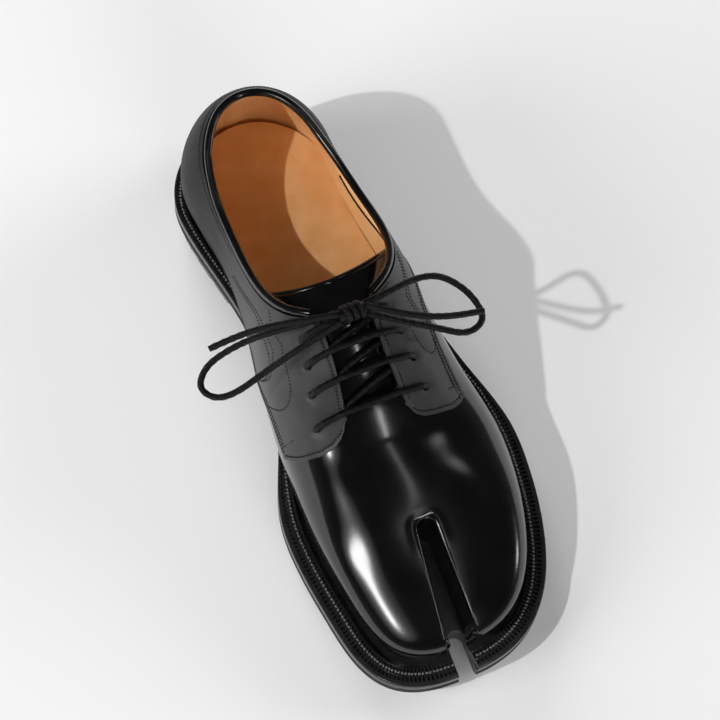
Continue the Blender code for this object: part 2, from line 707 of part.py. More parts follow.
def collar_path():
    """Centre line of the rolled edge: on top of the upper's rim, from facing to facing round the heel."""
    stations = [132.3, 129.8, 127, 124, 120, 115, 109, 102, 94, 85, 75, 64, 53, 43]
    turns = [18, 36, 54, 72]
    ends = [flank_ends(s, LATERAL) for s in stations] + [heel_ends(a, LATERAL) for a in turns + [90]]
    ends += [heel_ends(a, MEDIAL) for a in turns[::-1]] + [flank_ends(s, MEDIAL) for s in stations[::-1]]
    tops = [open_angle(outer[0]) for outer, inner in ends]
    rim = np.array([np.ravel(rib(*end, [top])) for end, top in zip(ends, tops)])
    below = np.array([np.ravel(rib(*end, [top - 5])) for end, top in zip(ends, tops)])
    run = np.gradient(rim, axis=0)
    run /= np.linalg.norm(run, axis=1, keepdims=True)
    rising = rim - below
    rising -= run * np.sum(rising * run, axis=1, keepdims=True)
    rising /= np.linalg.norm(rising, axis=1, keepdims=True)
    seat = rim + rising * (BINDING_RADIUS + BINDING_STANDOFF)
    return place(*seat.T)


tube("collar_binding", collar_path(), BINDING_RADIUS, POLISHED)


# Laces

def lace_height(s, x):
    """Height of the lace's centre line over the quarters."""
    share = plan_share(np.full(np.shape(x), s), x)
    nudge = 0.01
    slope = (arch_height(s, share + nudge) - arch_height(s, share)) / (nudge * (half_width(s) - inset(s)))
    return arch_height(s, share) + LACE_LIFT * np.sqrt(1 + slope ** 2)


def bar_points(s, reach):
    """Lace bar from eyelet to eyelet: along each facing, then straight across the throat."""
    gap = half_gap(s)
    x = crest_x(s) + np.array([-reach, -(reach + gap) / 2, -gap, 0, gap, (reach + gap) / 2, reach])
    z = lace_height(s, x)
    z[3] = (z[2] + z[4]) / 2
    return place(s, x, z)


def crossing_points(row, side):
    """Lace that runs under two bars, slantwise across the throat."""
    ends = []
    for at, way in ((row, side), (row + 1, -side)):
        s = EYELETS["station"][at]
        bar = bar_points(s, EYELETS["reach"][at]) / MM
        x = crest_x(s) + way * CROSSING_REACH
        ends.append(place(s, x, np.interp(x - AXIS_SHIFT, bar[:, 0], bar[:, 2]) - CROSSING_DROP))
    return ends


def tube_mesh(name, points):
    """Closed mesh of a lace tube, for joining."""
    drawn = tube(name, points, LACE_RADIUS, WAXED)
    bpy.context.view_layer.update()
    mesh = bpy.data.meshes.new_from_object(drawn.evaluated_get(bpy.context.evaluated_depsgraph_get()))
    bpy.data.objects.remove(drawn, do_unlink=True)
    shape = bmesh.new()
    shape.from_mesh(mesh)
    bmesh.ops.remove_doubles(shape, verts=shape.verts, dist=0.01 * MM)
    shape.to_mesh(mesh)
    shape.free()
    return mesh


def build_lace_bars():
    rows = range(len(EYELETS["station"]))
    runs = [bar_points(EYELETS["station"][row], EYELETS["reach"][row]) for row in rows]
    runs += [crossing_points(row, LATERAL if row % 2 else MEDIAL) for row in rows[:-1]]
    bars = add("lace_bars", tube_mesh("lace_bars", runs[0]), None)
    for number, points in enumerate(runs[1:]):
        name = f"lace_run_{number}"
        combine(bars, add(name, tube_mesh(name, points), None, cutters), "UNION")


def smooth_route(points, spacing):
    """Evenly spaced points on a smooth curve through a route."""
    points = np.array(points, float)
    run = np.concatenate([[0], np.cumsum(np.linalg.norm(np.diff(points, axis=0), axis=1))])
    along = [curve_of({"station": run, "value": points[:, i]}, "value") for i in range(3)]
    fine = np.stack([line(np.linspace(0, run[-1], 600)) for line in along], axis=1)
    length = np.concatenate([[0], np.cumsum(np.linalg.norm(np.diff(fine, axis=0), axis=1))])
    at = np.linspace(0, length[-1], max(3, round(length[-1] / spacing) + 1))
    return place(*(np.interp(at, length, fine[:, i]) for i in range(3)))


build_lace_bars()
tube("lace_knot", smooth_route(KNOT, 2 * KNOT_RADIUS), KNOT_RADIUS, WAXED)
for name, route in (
    ("lace_loop_medial", MEDIAL_LOOP), ("lace_end_medial", MEDIAL_END),
    ("lace_loop_lateral", LATERAL_LOOP), ("lace_end_lateral", LATERAL_END),
):
    tube(name, smooth_route(route, 5 * LACE_RADIUS), LACE_RADIUS, WAXED)
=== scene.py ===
import math

import bmesh
import bpy
import numpy as np
from mathutils import Matrix, Vector


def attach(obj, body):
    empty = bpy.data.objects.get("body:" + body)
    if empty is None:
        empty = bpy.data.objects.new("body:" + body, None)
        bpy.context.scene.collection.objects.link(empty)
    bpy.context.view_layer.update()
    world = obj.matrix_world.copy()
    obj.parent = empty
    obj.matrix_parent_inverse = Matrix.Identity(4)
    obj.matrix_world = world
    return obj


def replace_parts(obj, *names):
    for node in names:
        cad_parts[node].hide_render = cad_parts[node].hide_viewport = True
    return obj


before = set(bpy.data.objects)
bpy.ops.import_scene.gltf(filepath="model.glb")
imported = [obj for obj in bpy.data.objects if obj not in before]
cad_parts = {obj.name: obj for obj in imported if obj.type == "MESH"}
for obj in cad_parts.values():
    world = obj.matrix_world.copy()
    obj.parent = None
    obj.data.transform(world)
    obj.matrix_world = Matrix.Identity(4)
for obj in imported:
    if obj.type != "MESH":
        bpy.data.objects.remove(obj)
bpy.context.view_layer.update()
mm = 0.001
lateral, medial = 1, -1

# the shoe's last, in millimetres: stations run from the back of the heel, x is plus on the outer side

last = {
    "length": 290.0, "heelRound": 41.0, "toeStart": 213.0, "heelPower": 2.05, "toePower": 2.6,
    "gap": 0.3, "wall": 2.0, "innerAxis": 38.0,
    "throatRound": 165.0, "throatEnd": 171.0, "facingTop": 138.0, "cornerBlend": 14,
}
cleft = {
    "root": 228.3, "rootRadius": 4.2, "flare": 0.066, "floorHalf": 4.2, "axis": 3.4, "drift": -0.06,
    "floorBlend": 8.0, "slotEnd": 273.0, "lipRoll": 1.0, "cornerRound": 3.5,
}


def table(columns, *rows):
    return {name: np.array([row[i] for row in rows], float) for i, name in enumerate(columns.split())}


soleTable = table(
    "station centre halfWidth weltTop",
    (0, -0.5, 39.0, 25.5), (45, -0.5, 39.2, 25.2), (88, 5.0, 36.9, 23.2), (118, 9.6, 39.3, 20.0),
    (155, 10.5, 47.8, 16.6), (188, 8.0, 58.0, 15.3), (207, 6.8, 58.6, 15.2), (241, 5.0, 55.3, 15.8),
    (290, -2.5, 56.0, 19.5),
)
treadTable = table(
    "station height",
    (0, 1.2), (7, 0), (78, 0), (83, 7.5), (104, 9.0), (135, 6.0), (158, 0), (218, 0),
    (246, 1.0), (270, 3.0), (290, 5.6),
)
lastTable = table(
    "station inset shift rise tuck crown fullness lean",
    (0, 5.0, 0, 19, 2.5, 58, 2.0, 0), (28, 5.0, 0, 19, 2.5, 53, 2.0, 0), (50, 5.0, 0, 19, 3.0, 57, 2.0, -1),
    (72, 4.2, -0.3, 19, 3.5, 74, 2.0, -3.3), (95, 1.4, -2.0, 19, 5.0, 76, 2.0, -4.5),
    (118, 0.0, -4.5, 18, 6.0, 67, 2.0, -5.3), (140, 0.5, -6.2, 16, 6.0, 57, 2.0, -4.3),
    (162, 4.2, -5.0, 13, 5.0, 47, 2.05, -4.8),
    (185, 8.6, -1.2, 11, 3.5, 33.0, 2.15, -7.0), (205, 9.6, 0, 10.5, 3.0, 28.8, 2.3, -4),
    (219, 9.8, 0, 10.5, 3.0, 25.0, 2.6, -2.4), (242, 10.0, 0, 10.5, 3.0, 18.9, 2.55, -1.0),
    (266, 10.2, 0, 10.5, 3.0, 17.8, 2.1, -0.4), (290, 10.5, 0, 10.5, 3.0, 18.0, 2.5, 0),
)
collarTable = table(
    "station height",
    (0, 86), (20, 84.5), (40, 79), (60, 73), (80, 71), (98, 75), (114, 82), (133, 93), (170, 116),
)
throatTable = table("station halfGap", (110, 14), (140, 11.0), (160, 11.5), (178, 14.5))
quarterFoot = table(
    "station medial lateral",
    (0, -62, -62), (60, -58, -50), (95, -40, -5), (125, -8, 26), (150, 11, 36), (180, 15, 38),
)
quarterFront = table(
    "share medial lateral",
    (0.0, 172.0, 177.5), (0.15, 175.8, 180.5), (0.35, 179.3, 182.7), (0.65, 182.0, 183.0),
    (0.82, 181.6, 182.6), (0.92, 179.5, 181.0), (0.97, 177.0, 179.0), (1.0, 173.5, 176.5),
)
tongueTable = table(
    "station halfShare crest",
    (107, 0.88, 88), (122, 0.83, 90), (138, 0.76, 91.5), (155, 0.70, 200), (190, 0.62, 200),
)
eyeletTable = table("station reach", (172.0, 26.0), (159.5, 24.0), (148.5, 22.0), (138.5, 20.5))


def spline(rows, column):  # natural cubic through one column
    at, value = rows["station"], rows[column]
    step, count = np.diff(at), len(at)
    system, right = np.eye(count), np.zeros(count)
    for i in range(1, count - 1):
        system[i, i - 1:i + 2] = step[i - 1], 2 * (step[i - 1] + step[i]), step[i]
        right[i] = 6 * ((value[i + 1] - value[i]) / step[i] - (value[i] - value[i - 1]) / step[i - 1])
    bend = np.linalg.solve(system, right)

    def evaluate(s):
        s = np.clip(np.asarray(s, float), at[0], at[-1])
        i = np.clip(np.searchsorted(at, s, side="right") - 1, 0, count - 2)
        before, after, h = s - at[i], at[i + 1] - s, step[i]
        cubic = (bend[i] * after ** 3 + bend[i + 1] * before ** 3) / (6 * h)
        start, end = value[i] / h - bend[i] * h / 6, value[i + 1] / h - bend[i + 1] * h / 6
        return cubic + start * after + end * before

    return evaluate


centre, halfWidth, weltTop = (spline(soleTable, name) for name in ("centre", "halfWidth", "weltTop"))
inset, shift, rise, tuck, crown, fullness, lean = (
    spline(lastTable, name) for name in ("inset", "shift", "rise", "tuck", "crown", "fullness", "lean")
)
collarHeight, halfGap = spline(collarTable, "height"), spline(throatTable, "halfGap")


def tread(s):
    return np.interp(s, treadTable["station"], treadTable["height"])


def cleftAxis(s):
    return cleft["axis"] + cleft["drift"] * (s - cleft["root"])


def cleftHalf(s):
    return cleft["rootRadius"] + cleft["flare"] * np.maximum(s - cleft["root"], 0)


def cleftDistance(s, x):  # how far a point of the plan lies outside the cleft
    behind = np.hypot(np.minimum(s - cleft["root"], 0), x - cleftAxis(s)) - cleft["rootRadius"]
    beside = (np.abs(x - cleftAxis(s)) - cleftHalf(s)) / math.hypot(1, cleft["flare"])
    return np.where(s < cleft["root"], behind, beside)


def steady(value):
    return lambda s: np.full(np.shape(s), float(value))


def heelArc(angle, inner):
    turn = np.radians(angle)
    power = 2 / last["heelPower"]
    reach = last["heelRound"] - inner(0.0)
    return last["heelRound"] - reach * np.sin(turn) ** power, np.cos(turn) ** power


def toeArc(angle, inner):
    turn = np.radians(angle)
    power = 2 / last["toePower"]
    reach = last["length"] - inner(last["length"]) - last["toeStart"]
    return last["toeStart"] + reach * np.sin(turn) ** power, np.cos(turn) ** power


def planRows(inner, heelAngles, flank, toeAngles):
    rows = [heelArc(a, inner) for a in heelAngles] + [(s, 1.0) for s in flank]
    rows += [toeArc(a, inner) for a in toeAngles]
    s = np.array([row[0] for row in rows])
    reach = np.array([row[1] for row in rows]) * (halfWidth(s) - inner(s))
    return s, centre(s) - reach, centre(s) + reach


def flankSteps(step):  # stations between the rounds of heel and toe
    return np.arange(last["heelRound"], last["toeStart"], step)


finePlan = {"heel": np.linspace(89, 3, 26), "flank": flankSteps(3.0), "toe": np.linspace(3, 89, 34)}
edges = planRows(steady(0), finePlan["heel"], flankSteps(0.5), finePlan["toe"])
axisShift = (edges[1].min() + edges[2].max()) / 2


def place(s, x, z):
    s, x, z = np.broadcast_arrays(s, x, z)
    return np.stack([(x - axisShift) * mm, (last["length"] / 2 - s) * mm, z * mm], axis=-1)


def middle(s):
    return centre(s) + shift(s)


def planShare(s, x):  # 0 on the crest line, 1 on the upper's widest line
    reach = halfWidth(s) - inset(s)
    toe = np.maximum(s - last["toeStart"], 0) / (last["length"] - inset(last["length"]) - last["toeStart"])
    heel = np.maximum(last["heelRound"] - s, 0) / (last["heelRound"] - inset(0.0))
    power = np.where(s > (last["heelRound"] + last["toeStart"]) / 2, last["toePower"], last["heelPower"])
    share = np.zeros(np.shape(s))
    for _ in range(14):  # the lean needs the share, so both are found in a few turns
        across = np.abs(x - middle(s) - lean(s) * (1 - np.minimum(share, 1) ** 2)) / reach
        share = (across ** power + (toe + heel) ** power) ** (1 / power)
    return share


def footLine(s):
    return weltTop(s) + last["gap"]


def archHeight(s, share):
    n = fullness(s)
    return footLine(s) + rise(s) + crown(s) * (1 - np.minimum(share, 1) ** n) ** (1 / n)


def crestX(s):
    return middle(s) + lean(s)


def ribLine(outer, inner):  # points of a plan line, their share, and a share that falls all the way
    steps = np.linspace(0, 1, 400)
    s = outer[0] + steps * (inner[0] - outer[0])
    x = outer[1] + steps * (inner[1] - outer[1])
    share = np.minimum(planShare(s, x), 1.0)
    return s, x, share, np.minimum.accumulate(share) - 1e-4 * steps


def rib(outer, inner, angles):  # surface over a straight plan line: below 0 is the tuck, 90 the crest
    s, x, share, falling = ribLine(outer, inner)
    turn = np.radians(angles)
    tuckShare = tuck(outer[0]) / max(halfWidth(outer[0]) - inset(outer[0]), 1.0)
    wanted = np.minimum(np.cos(np.maximum(turn, 0)) ** (2 / fullness(outer[0])), share[0])
    wanted = np.where(turn < 0, share[0] - tuckShare * np.sin(turn) ** 2, wanted)
    at = np.interp(-wanted, -falling, np.arange(len(s)))
    sAt, xAt, shareAt = (np.interp(at, np.arange(len(s)), values) for values in (s, x, share))
    edge = archHeight(outer[0], share[0]) - footLine(outer[0])
    low = footLine(sAt) + edge * (1 + np.sin(np.minimum(turn, 0)))
    return np.stack([sAt, xAt, np.where(turn < 0, low, archHeight(sAt, shareAt))], axis=-1)


def flankPoints(s, side, angles):  # the same surface straight across the shoe, for many stations at once
    s, turn = np.broadcast_arrays(np.asarray(s, float), np.radians(angles))
    reach = halfWidth(s) - inset(s)
    share = np.cos(np.maximum(turn, 0)) ** (2 / fullness(s))
    share = np.where(turn < 0, 1 - tuck(s) / reach * np.sin(turn) ** 2, share)
    x = middle(s) + lean(s) * (1 - share ** 2) + side * share * reach
    low = footLine(s) + rise(s) * (1 + np.sin(np.minimum(turn, 0)))
    return np.stack([s, x, np.where(turn < 0, low, archHeight(s, share))], axis=-1)


def closedAngle(outer, inner):  # angle at which a rib reaches its inner end
    share = max(ribLine(outer, inner)[-1][-1], 0.0)
    return np.degrees(np.arccos(share ** (fullness(outer[0]) / 2)))


def openAngle(s, close=1.0):  # top edge: collar height or throat gap, whichever is lower
    n = fullness(s)
    climb = np.clip((collarHeight(s) - footLine(s) - rise(s)) / crown(s), 0.01, 0.999)
    byCollar = np.degrees(np.arcsin(climb ** (n / 2)))
    byGap = np.degrees(np.arccos((halfGap(s) * close / (halfWidth(s) - inset(s))) ** (n / 2)))
    blend = last["cornerBlend"]
    return (byCollar ** -blend + byGap ** -blend) ** (-1 / blend)


def throatClose(s):
    run = np.clip((s - last["throatRound"]) / (last["throatEnd"] - last["throatRound"]), 0, 1)
    return (1 - run ** 4) ** 0.25


def flankEnds(s, side):
    return (s, float(middle(s) + side * (halfWidth(s) - inset(s)))), (s, float(crestX(s)))


def heelEnds(angle, side):
    s, share = heelArc(angle, inset)
    outer = (s, float(middle(s) + side * share * (halfWidth(s) - inset(s))))
    return outer, (last["heelRound"], float(crestX(last["heelRound"])))


def resample(path, count, ease=1.0):  # evenly spaced points, or closer towards the end with more ease
    path = np.asarray(path, float)
    run = runAlong(path)
    at = run[-1] * (1 - (1 - np.linspace(0, 1, count)) ** ease)
    return np.stack([np.interp(at, run, path[:, i]) for i in range(path.shape[1])], axis=1)


# mesh helpers

def srgb(code):  # "#rrggbb" to linear colour
    values = [int(code[i:i + 2], 16) / 255 for i in (1, 3, 5)]
    return [v / 12.92 if v <= 0.04045 else ((v + 0.055) / 1.055) ** 2.4 for v in values] + [1.0]


def gridShape(bm, points):  # a create_grid sheet bent to rows of points on the last
    grid = place(points[..., 0], points[..., 1], points[..., 2])
    rows, columns = grid.shape[:2]
    made = bmesh.ops.create_grid(bm, x_segments=columns - 1, y_segments=rows - 1, size=1.0)["verts"]
    for v in made:
        column, row = round((v.co.x + 1) / 2 * (columns - 1)), round((v.co.y + 1) / 2 * (rows - 1))
        v.co = grid[row, column]


def takeMesh(bm, name):
    mesh = bpy.data.meshes.new(name)
    bm.to_mesh(mesh)
    bm.free()
    return mesh


def addObject(name, data):
    made = bpy.data.objects.new(name, data)
    bpy.context.scene.collection.objects.link(made)
    return made


def finishMesh(bm, name, material, merge=0.02, smooth=40):
    bmesh.ops.remove_doubles(bm, verts=bm.verts, dist=merge * mm)
    mesh = takeMesh(bm, name)
    mesh.shade_smooth()
    mesh.set_sharp_from_angle(angle=math.radians(smooth))
    mesh.materials.append(material)
    piece = addObject(name, mesh)
    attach(piece, "root")
    return piece


def faceOut(bm, inside):  # turns an open sheet away from a point inside the shoe
    bmesh.ops.recalc_face_normals(bm, faces=bm.faces)
    inside = Vector(inside)
    facing = sum(f.calc_area() * f.normal.dot(f.calc_center_median() - inside) for f in bm.faces)
    if facing < 0:
        bmesh.ops.reverse_faces(bm, faces=bm.faces)


def unit(vectors):
    return vectors / (np.linalg.norm(vectors, axis=-1, keepdims=True) + 1e-12)


def outward(normals, points):  # signs normals away from the middle of the shoe
    s = points[..., 0]
    core = np.stack([s, crestX(s), np.full(s.shape, last["innerAxis"])], axis=-1)
    sign = np.sign(np.sum(normals * (points - core), axis=-1, keepdims=True).mean())
    return normals * sign


def gridNormals(grid):
    return outward(unit(np.cross(np.gradient(grid, axis=0), np.gradient(grid, axis=1))), grid)


def runAlong(path):  # distance from a path's start to each of its points
    return np.concatenate([[0], np.cumsum(np.linalg.norm(np.diff(path, axis=0), axis=1))])


def thicken(piece, thickness, bevel=0.0, segments=3):
    wall = piece.modifiers.new("wall", "SOLIDIFY")
    wall.thickness, wall.offset = thickness * mm, -1
    if bevel:
        soften(piece, bevel, segments)


def soften(piece, width, segments=2, angle=40):
    edge = piece.modifiers.new("softEdges", "BEVEL")
    edge.width, edge.segments = width * mm, segments
    edge.limit_method, edge.angle_limit = "ANGLE", math.radians(angle)


def cut(piece, cutter):
    tool = piece.modifiers.new("cut", "BOOLEAN")
    tool.operation, tool.solver, tool.object = "DIFFERENCE", "EXACT", cutter


def applyModifiers(piece):  # keeps the shaped mesh and drops the modifiers
    bpy.context.view_layer.update()
    depsgraph = bpy.context.evaluated_depsgraph_get()
    made = bpy.data.meshes.new_from_object(piece.evaluated_get(depsgraph))
    piece.modifiers.clear()
    old, piece.data = piece.data, made
    bpy.data.meshes.remove(old)


# materials: patterns are sized in millimetres on object coordinates

def addNode(tree, kind, settings=(), links=()):
    node = tree.nodes.new(kind)
    for name, value in dict(settings).items():
        if name in node.inputs:
            node.inputs[name].default_value = value
        else:
            setattr(node, name, value)
    for name, source in dict(links).items():
        tree.links.new(source, node.inputs[name])
    return node


def newMaterial(name, colours, roughness, grain, patch, settings=()):
    material = bpy.data.materials.new(name)
    material.use_nodes = True
    tree = material.node_tree
    shader = tree.nodes["Principled BSDF"]
    for socket, value in dict(settings).items():
        shader.inputs[socket].default_value = value
    where = addNode(tree, "ShaderNodeTexCoord").outputs["Object"]
    cloud = addNode(tree, "ShaderNodeTexNoise", {"Scale": 1 / (patch * mm), "Detail": 3.0}, {"Vector": where})
    # uneven dye
    dye = addNode(tree, "ShaderNodeValToRGB", links={"Fac": cloud.outputs["Fac"]})
    for element, position, colour in zip(dye.color_ramp.elements, (0.3, 0.7), colours):
        element.position, element.color = position, srgb(colour)
    tree.links.new(dye.outputs["Color"], shader.inputs["Base Color"])
    # uneven shine
    low, high = roughness
    shine = addNode(
        tree, "ShaderNodeMapRange", {"To Min": low, "To Max": high}, {"Value": cloud.outputs["Fac"]},
    )
    tree.links.new(shine.outputs["Result"], shader.inputs["Roughness"])
    # pores or moulding texture
    size, depth = grain
    pores = addNode(tree, "ShaderNodeTexVoronoi", {"Scale": 1 / (size * mm)}, {"Vector": where})
    relief = addNode(
        tree, "ShaderNodeBump", {"Strength": 1.0, "Distance": depth * mm},
        {"Height": pores.outputs["Distance"]},
    )
    tree.links.new(relief.outputs["Normal"], shader.inputs["Normal"])
    return material


# painted shade at the quarters' heel: colour and roughness factors reached at the heel
heelPaintedShade = {"start": 0.02, "end": 0.08, "colour": 0.08, "roughness": 1.6}


def paintHeelShade(material):  # painted shade: the colour darkens towards the heel to stand for dark reflections there, and the roughness rises
    tree = material.node_tree
    shader = tree.nodes["Principled BSDF"]
    where = addNode(tree, "ShaderNodeTexCoord").outputs["Object"]
    along = addNode(tree, "ShaderNodeSeparateXYZ", links={"Vector": where}).outputs["Y"]
    for socket, kept in (("Base Color", heelPaintedShade["colour"]), ("Roughness", heelPaintedShade["roughness"])):
        darkenAndDull = addNode(
            tree, "ShaderNodeMapRange",
            {"From Min": heelPaintedShade["start"], "From Max": heelPaintedShade["end"], "To Min": 1.0, "To Max": kept},
            {"Value": along},
        ).outputs["Result"]
        source = shader.inputs[socket].links[0].from_socket
        scaled = addNode(
            tree, "ShaderNodeVectorMath", {"operation": "SCALE"}, {"Vector": source, "Scale": darkenAndDull},
        )
        tree.links.new(scaled.outputs["Vector"], shader.inputs[socket])


# vamp, tongue and binding: black calf, waxed to a high shine
polished = newMaterial(
    "polishedBlackCalf", ("#060607", "#0b0b0c"), (0.13, 0.18), (0.7, 0.012), 14,
    {"Coat Weight": 0.5, "Coat Roughness": 0.1},
)
# quarters: the same calf with a satin finish; its grey base is partly painted reflection of the bright floor
# and horizon, and the heel is painted darker as shade
satin = newMaterial("satinBlackCalfPaintedSheen", ("#2c2c2d", "#363637"), (0.32, 0.42), (0.8, 0.03), 12)
paintHeelShade(satin)
# lining and insole: tan leather with an open grain
tan = newMaterial("tanLiningLeather", ("#e9b377", "#f1c28c"), (0.42, 0.55), (0.6, 0.05), 9)
# welt: black moulded rubber
rubber = newMaterial("blackMouldedRubber", ("#1c1c1d", "#242425"), (0.12, 0.20), (0.5, 0.015), 7)
# midsole and tread: the same rubber, with a greyer base that paints the floor's reflection on the side walls
greyRubberPaintedSheen = newMaterial("mouldedRubberPaintedSheen", ("#3a3a3b", "#464647"), (0.35, 0.45), (0.5, 0.015), 7)
# laces: black cotton braid, waxed
waxed = newMaterial(
    "waxedCottonBraid", ("#060607", "#0c0c0d"), (0.36, 0.48), (0.35, 0.1), 5, {"Specular IOR Level": 0.35},
)
# seams: black waxed thread
threadBlack = newMaterial("blackWaxedThread", ("#080808", "#0e0e0e"), (0.3, 0.42), (0.25, 0.03), 4)
# welt and cleft: the same black thread, painted light grey for its highlights and glints
glintThread = newMaterial("waxedThreadPaintedGlint", ("#5c5c5d", "#6e6e6f"), (0.3, 0.4), (0.25, 0.03), 4)

# camera: the photo's own place and angle, turned to the shoe

camera = {
    "place": (-0.2226, -0.4009, 1.2210), "photoAim": (-0.0449, 0.0887, 0.0), "aim": (0.001, 0.004, 0.040),
    "lens": 139.0, "sensor": 36.0, "roll": -0.0287,
}


def setCamera():
    data = bpy.data.cameras.new("camera")
    data.lens, data.sensor_width = camera["lens"], camera["sensor"]
    data.dof.use_dof = False
    eye = addObject("camera", data)
    spot, photoAim, aim = (Vector(camera[k]) for k in ("place", "photoAim", "aim"))
    forward = (photoAim - spot).normalized()
    right = forward.cross(Vector((0, 0, 1))).normalized()
    up = right.cross(forward)
    right, up = right + camera["roll"] * up, up - camera["roll"] * right
    turn = forward.rotation_difference((aim - spot).normalized())
    axes = [(turn @ v).normalized() for v in (right, up, -forward)]
    basis = Matrix(axes).transposed().to_4x4()
    basis.translation = spot
    eye.matrix_world = basis
    bpy.context.scene.camera = eye


setCamera()
print("camera set")

# laces: round waxed cord, 3 mm thick

lace = {"radius": 1.5, "sides": 14, "pitch": 0.45, "strands": 4, "twist": 4.2, "relief": 0.19}
medialLoop = (
    (137.2, -3.7, 99), (135, -22, 96), (131, -40, 88.5), (130, -55, 80.5), (133, -65, 74.5), (138, -68, 72.5),
    (144, -65, 72.5), (147, -56, 75.5), (146, -45, 80.5), (144, -25, 91), (142, -3.7, 99),
)
medialEnd = ((139.4, -4.0, 102.5), (135, -22, 100.5), (130, -41, 95), (128, -60, 87.5))
lateralLoop = (
    (137.2, 8.2, 99), (136, 21, 98.5), (133.5, 36, 94.5), (134.5, 46, 90.5), (140, 54, 85.5), (149, 59, 81.5),
    (157, 58.5, 79.5), (160, 52, 79.5), (157, 41, 83.5), (150, 25, 91.5), (142, 8.2, 99),
)
lateralEnd = ((139.6, 8.5, 102.5), (149, 24, 100), (154, 39, 94.5), (156, 59, 87.5))


def smoothRoute(points, spacing):  # evenly spaced points on a smooth curve through a route
    points = np.array(points, float)
    run = runAlong(points)
    at = np.linspace(0, run[-1], 800)
    fine = np.stack([spline({"station": run, "value": column}, "value")(at) for column in points.T], axis=1)
    length = runAlong(fine)[-1]
    return resample(fine, max(4, round(length / spacing) + 1)), length


def tubeGrid(path, radius, sides, wave=None):  # rings round a path that don't twist
    tangent = unit(np.gradient(path, axis=0))
    side = np.cross(tangent[0], (0.0, 0.0, 1.0))
    turn = np.linspace(0, 2 * np.pi, sides + 1)
    rows = []
    for point, ahead, at in zip(path, tangent, runAlong(path)):
        side = unit(side - ahead * np.dot(side, ahead))
        lift = np.cross(ahead, side)
        r = radius + (wave(turn, at) if wave else 0 * turn)
        rows.append(point + np.outer(np.cos(turn) * r, side) + np.outer(np.sin(turn) * r, lift))
    return np.array(rows)


def braidWave(turn, at):  # strands that cross over and under round the cord
    left = np.sin(lace["strands"] * turn + 2 * np.pi * at / lace["twist"])
    right = np.sin(lace["strands"] * turn - 2 * np.pi * at / lace["twist"])
    return lace["relief"] * (np.maximum(left, right) - 0.6)


def roundEnds(grid):  # closes a tube with a small dome at each end
    first, final = grid[0].mean(axis=0), grid[-1].mean(axis=0)
    before = [first + (grid[0] - first) * k for k in (0.0, 0.75)]
    after = [final + (grid[-1] - final) * k for k in (0.75, 0.0)]
    return np.concatenate([np.array(before), grid, np.array(after)])


def addTube(bm, path, radius, wave=braidWave, sides=lace["sides"]):
    gridShape(bm, roundEnds(tubeGrid(path, radius, sides, wave)))


def cordMesh(bm, name, material=waxed):
    bmesh.ops.remove_doubles(bm, verts=bm.verts, dist=0.005 * mm)
    bmesh.ops.recalc_face_normals(bm, faces=bm.faces)
    return finishMesh(bm, name, material, merge=0.005, smooth=80)


# the bow's knot: the lace wound round itself

knot = {
    "centre": (139.5, 2.2, 100.1), "core": 3.0, "half": 6.2, "wrap": 2.9, "places": (-3.0, 0.1, 3.2),
    "slant": 1.1, "slantAt": 0.6, "start": 0.3,
}


def buildKnot():
    s, x, z = knot["centre"]
    bm = bmesh.new()
    addTube(bm, np.linspace((s, x - knot["half"], z), (s, x + knot["half"], z), 24), knot["core"])
    turn = np.linspace(knot["start"], 2 * np.pi + knot["start"], 60)
    for at in knot["places"]:
        across = x + at + knot["slant"] * np.cos(turn - knot["slantAt"])
        ring = np.stack([s + knot["wrap"] * np.cos(turn), across, z + knot["wrap"] * np.sin(turn)], axis=1)
        addTube(bm, ring, lace["radius"])
    piece = cordMesh(bm, "laceKnot")
    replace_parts(piece, "lace_knot")
    return piece


knotPiece = buildKnot()
for name, route, node in (
    ("laceLoopMedial", medialLoop, "lace_loop_medial"), ("laceEndMedial", medialEnd, "lace_end_medial"),
    ("laceLoopLateral", lateralLoop, "lace_loop_lateral"), ("laceEndLateral", lateralEnd, "lace_end_lateral"),
):
    path, length = smoothRoute(route, lace["pitch"])
    bm = bmesh.new()
    addTube(bm, path, lace["radius"])
    piece = cordMesh(bm, name)
    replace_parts(piece, node)
    line = place(*path.T)
print("laces tied")

# upper: one skin from heel to cleft toe

upper = {
    "heelRows": 22, "tuckColumns": 9, "archColumns": 64, "lobeRibs": 110, "cornerEase": 1.5, "leather": 1.2,
    "flank": ((41, 124, 4.0), (124, 139, 1.5), (139, 165, 3.0)), "vamp": (172.5, 212, 2.5), "lobeStart": 212,
    "ridge": 0.3, "ridgeWidth": 10.0, "ridgeFrom": 172.0, "ridgeTo": 228.0, "ridgeFade": (12, 16),
    "rim": 0.25, "rimWidth": 1.8, "rimAt": 2.6, "rimRun": 12,
    "lipStart": (9, 5), "lipFadeFrom": 262.0, "lipFadeTo": 276.0, "lipKeep": 0.45,
}
swells = table(
    "height station across length width",
    (2.6, 194.5, -30, 14, 13), (2.5, 227, -38, 18.5, 26), (-1.2, 228, -30, 14, 7),
)


def smoothStep(a, b, value):
    t = np.clip((value - a) / (b - a), 0, 1)
    return t * t * (3 - 2 * t)


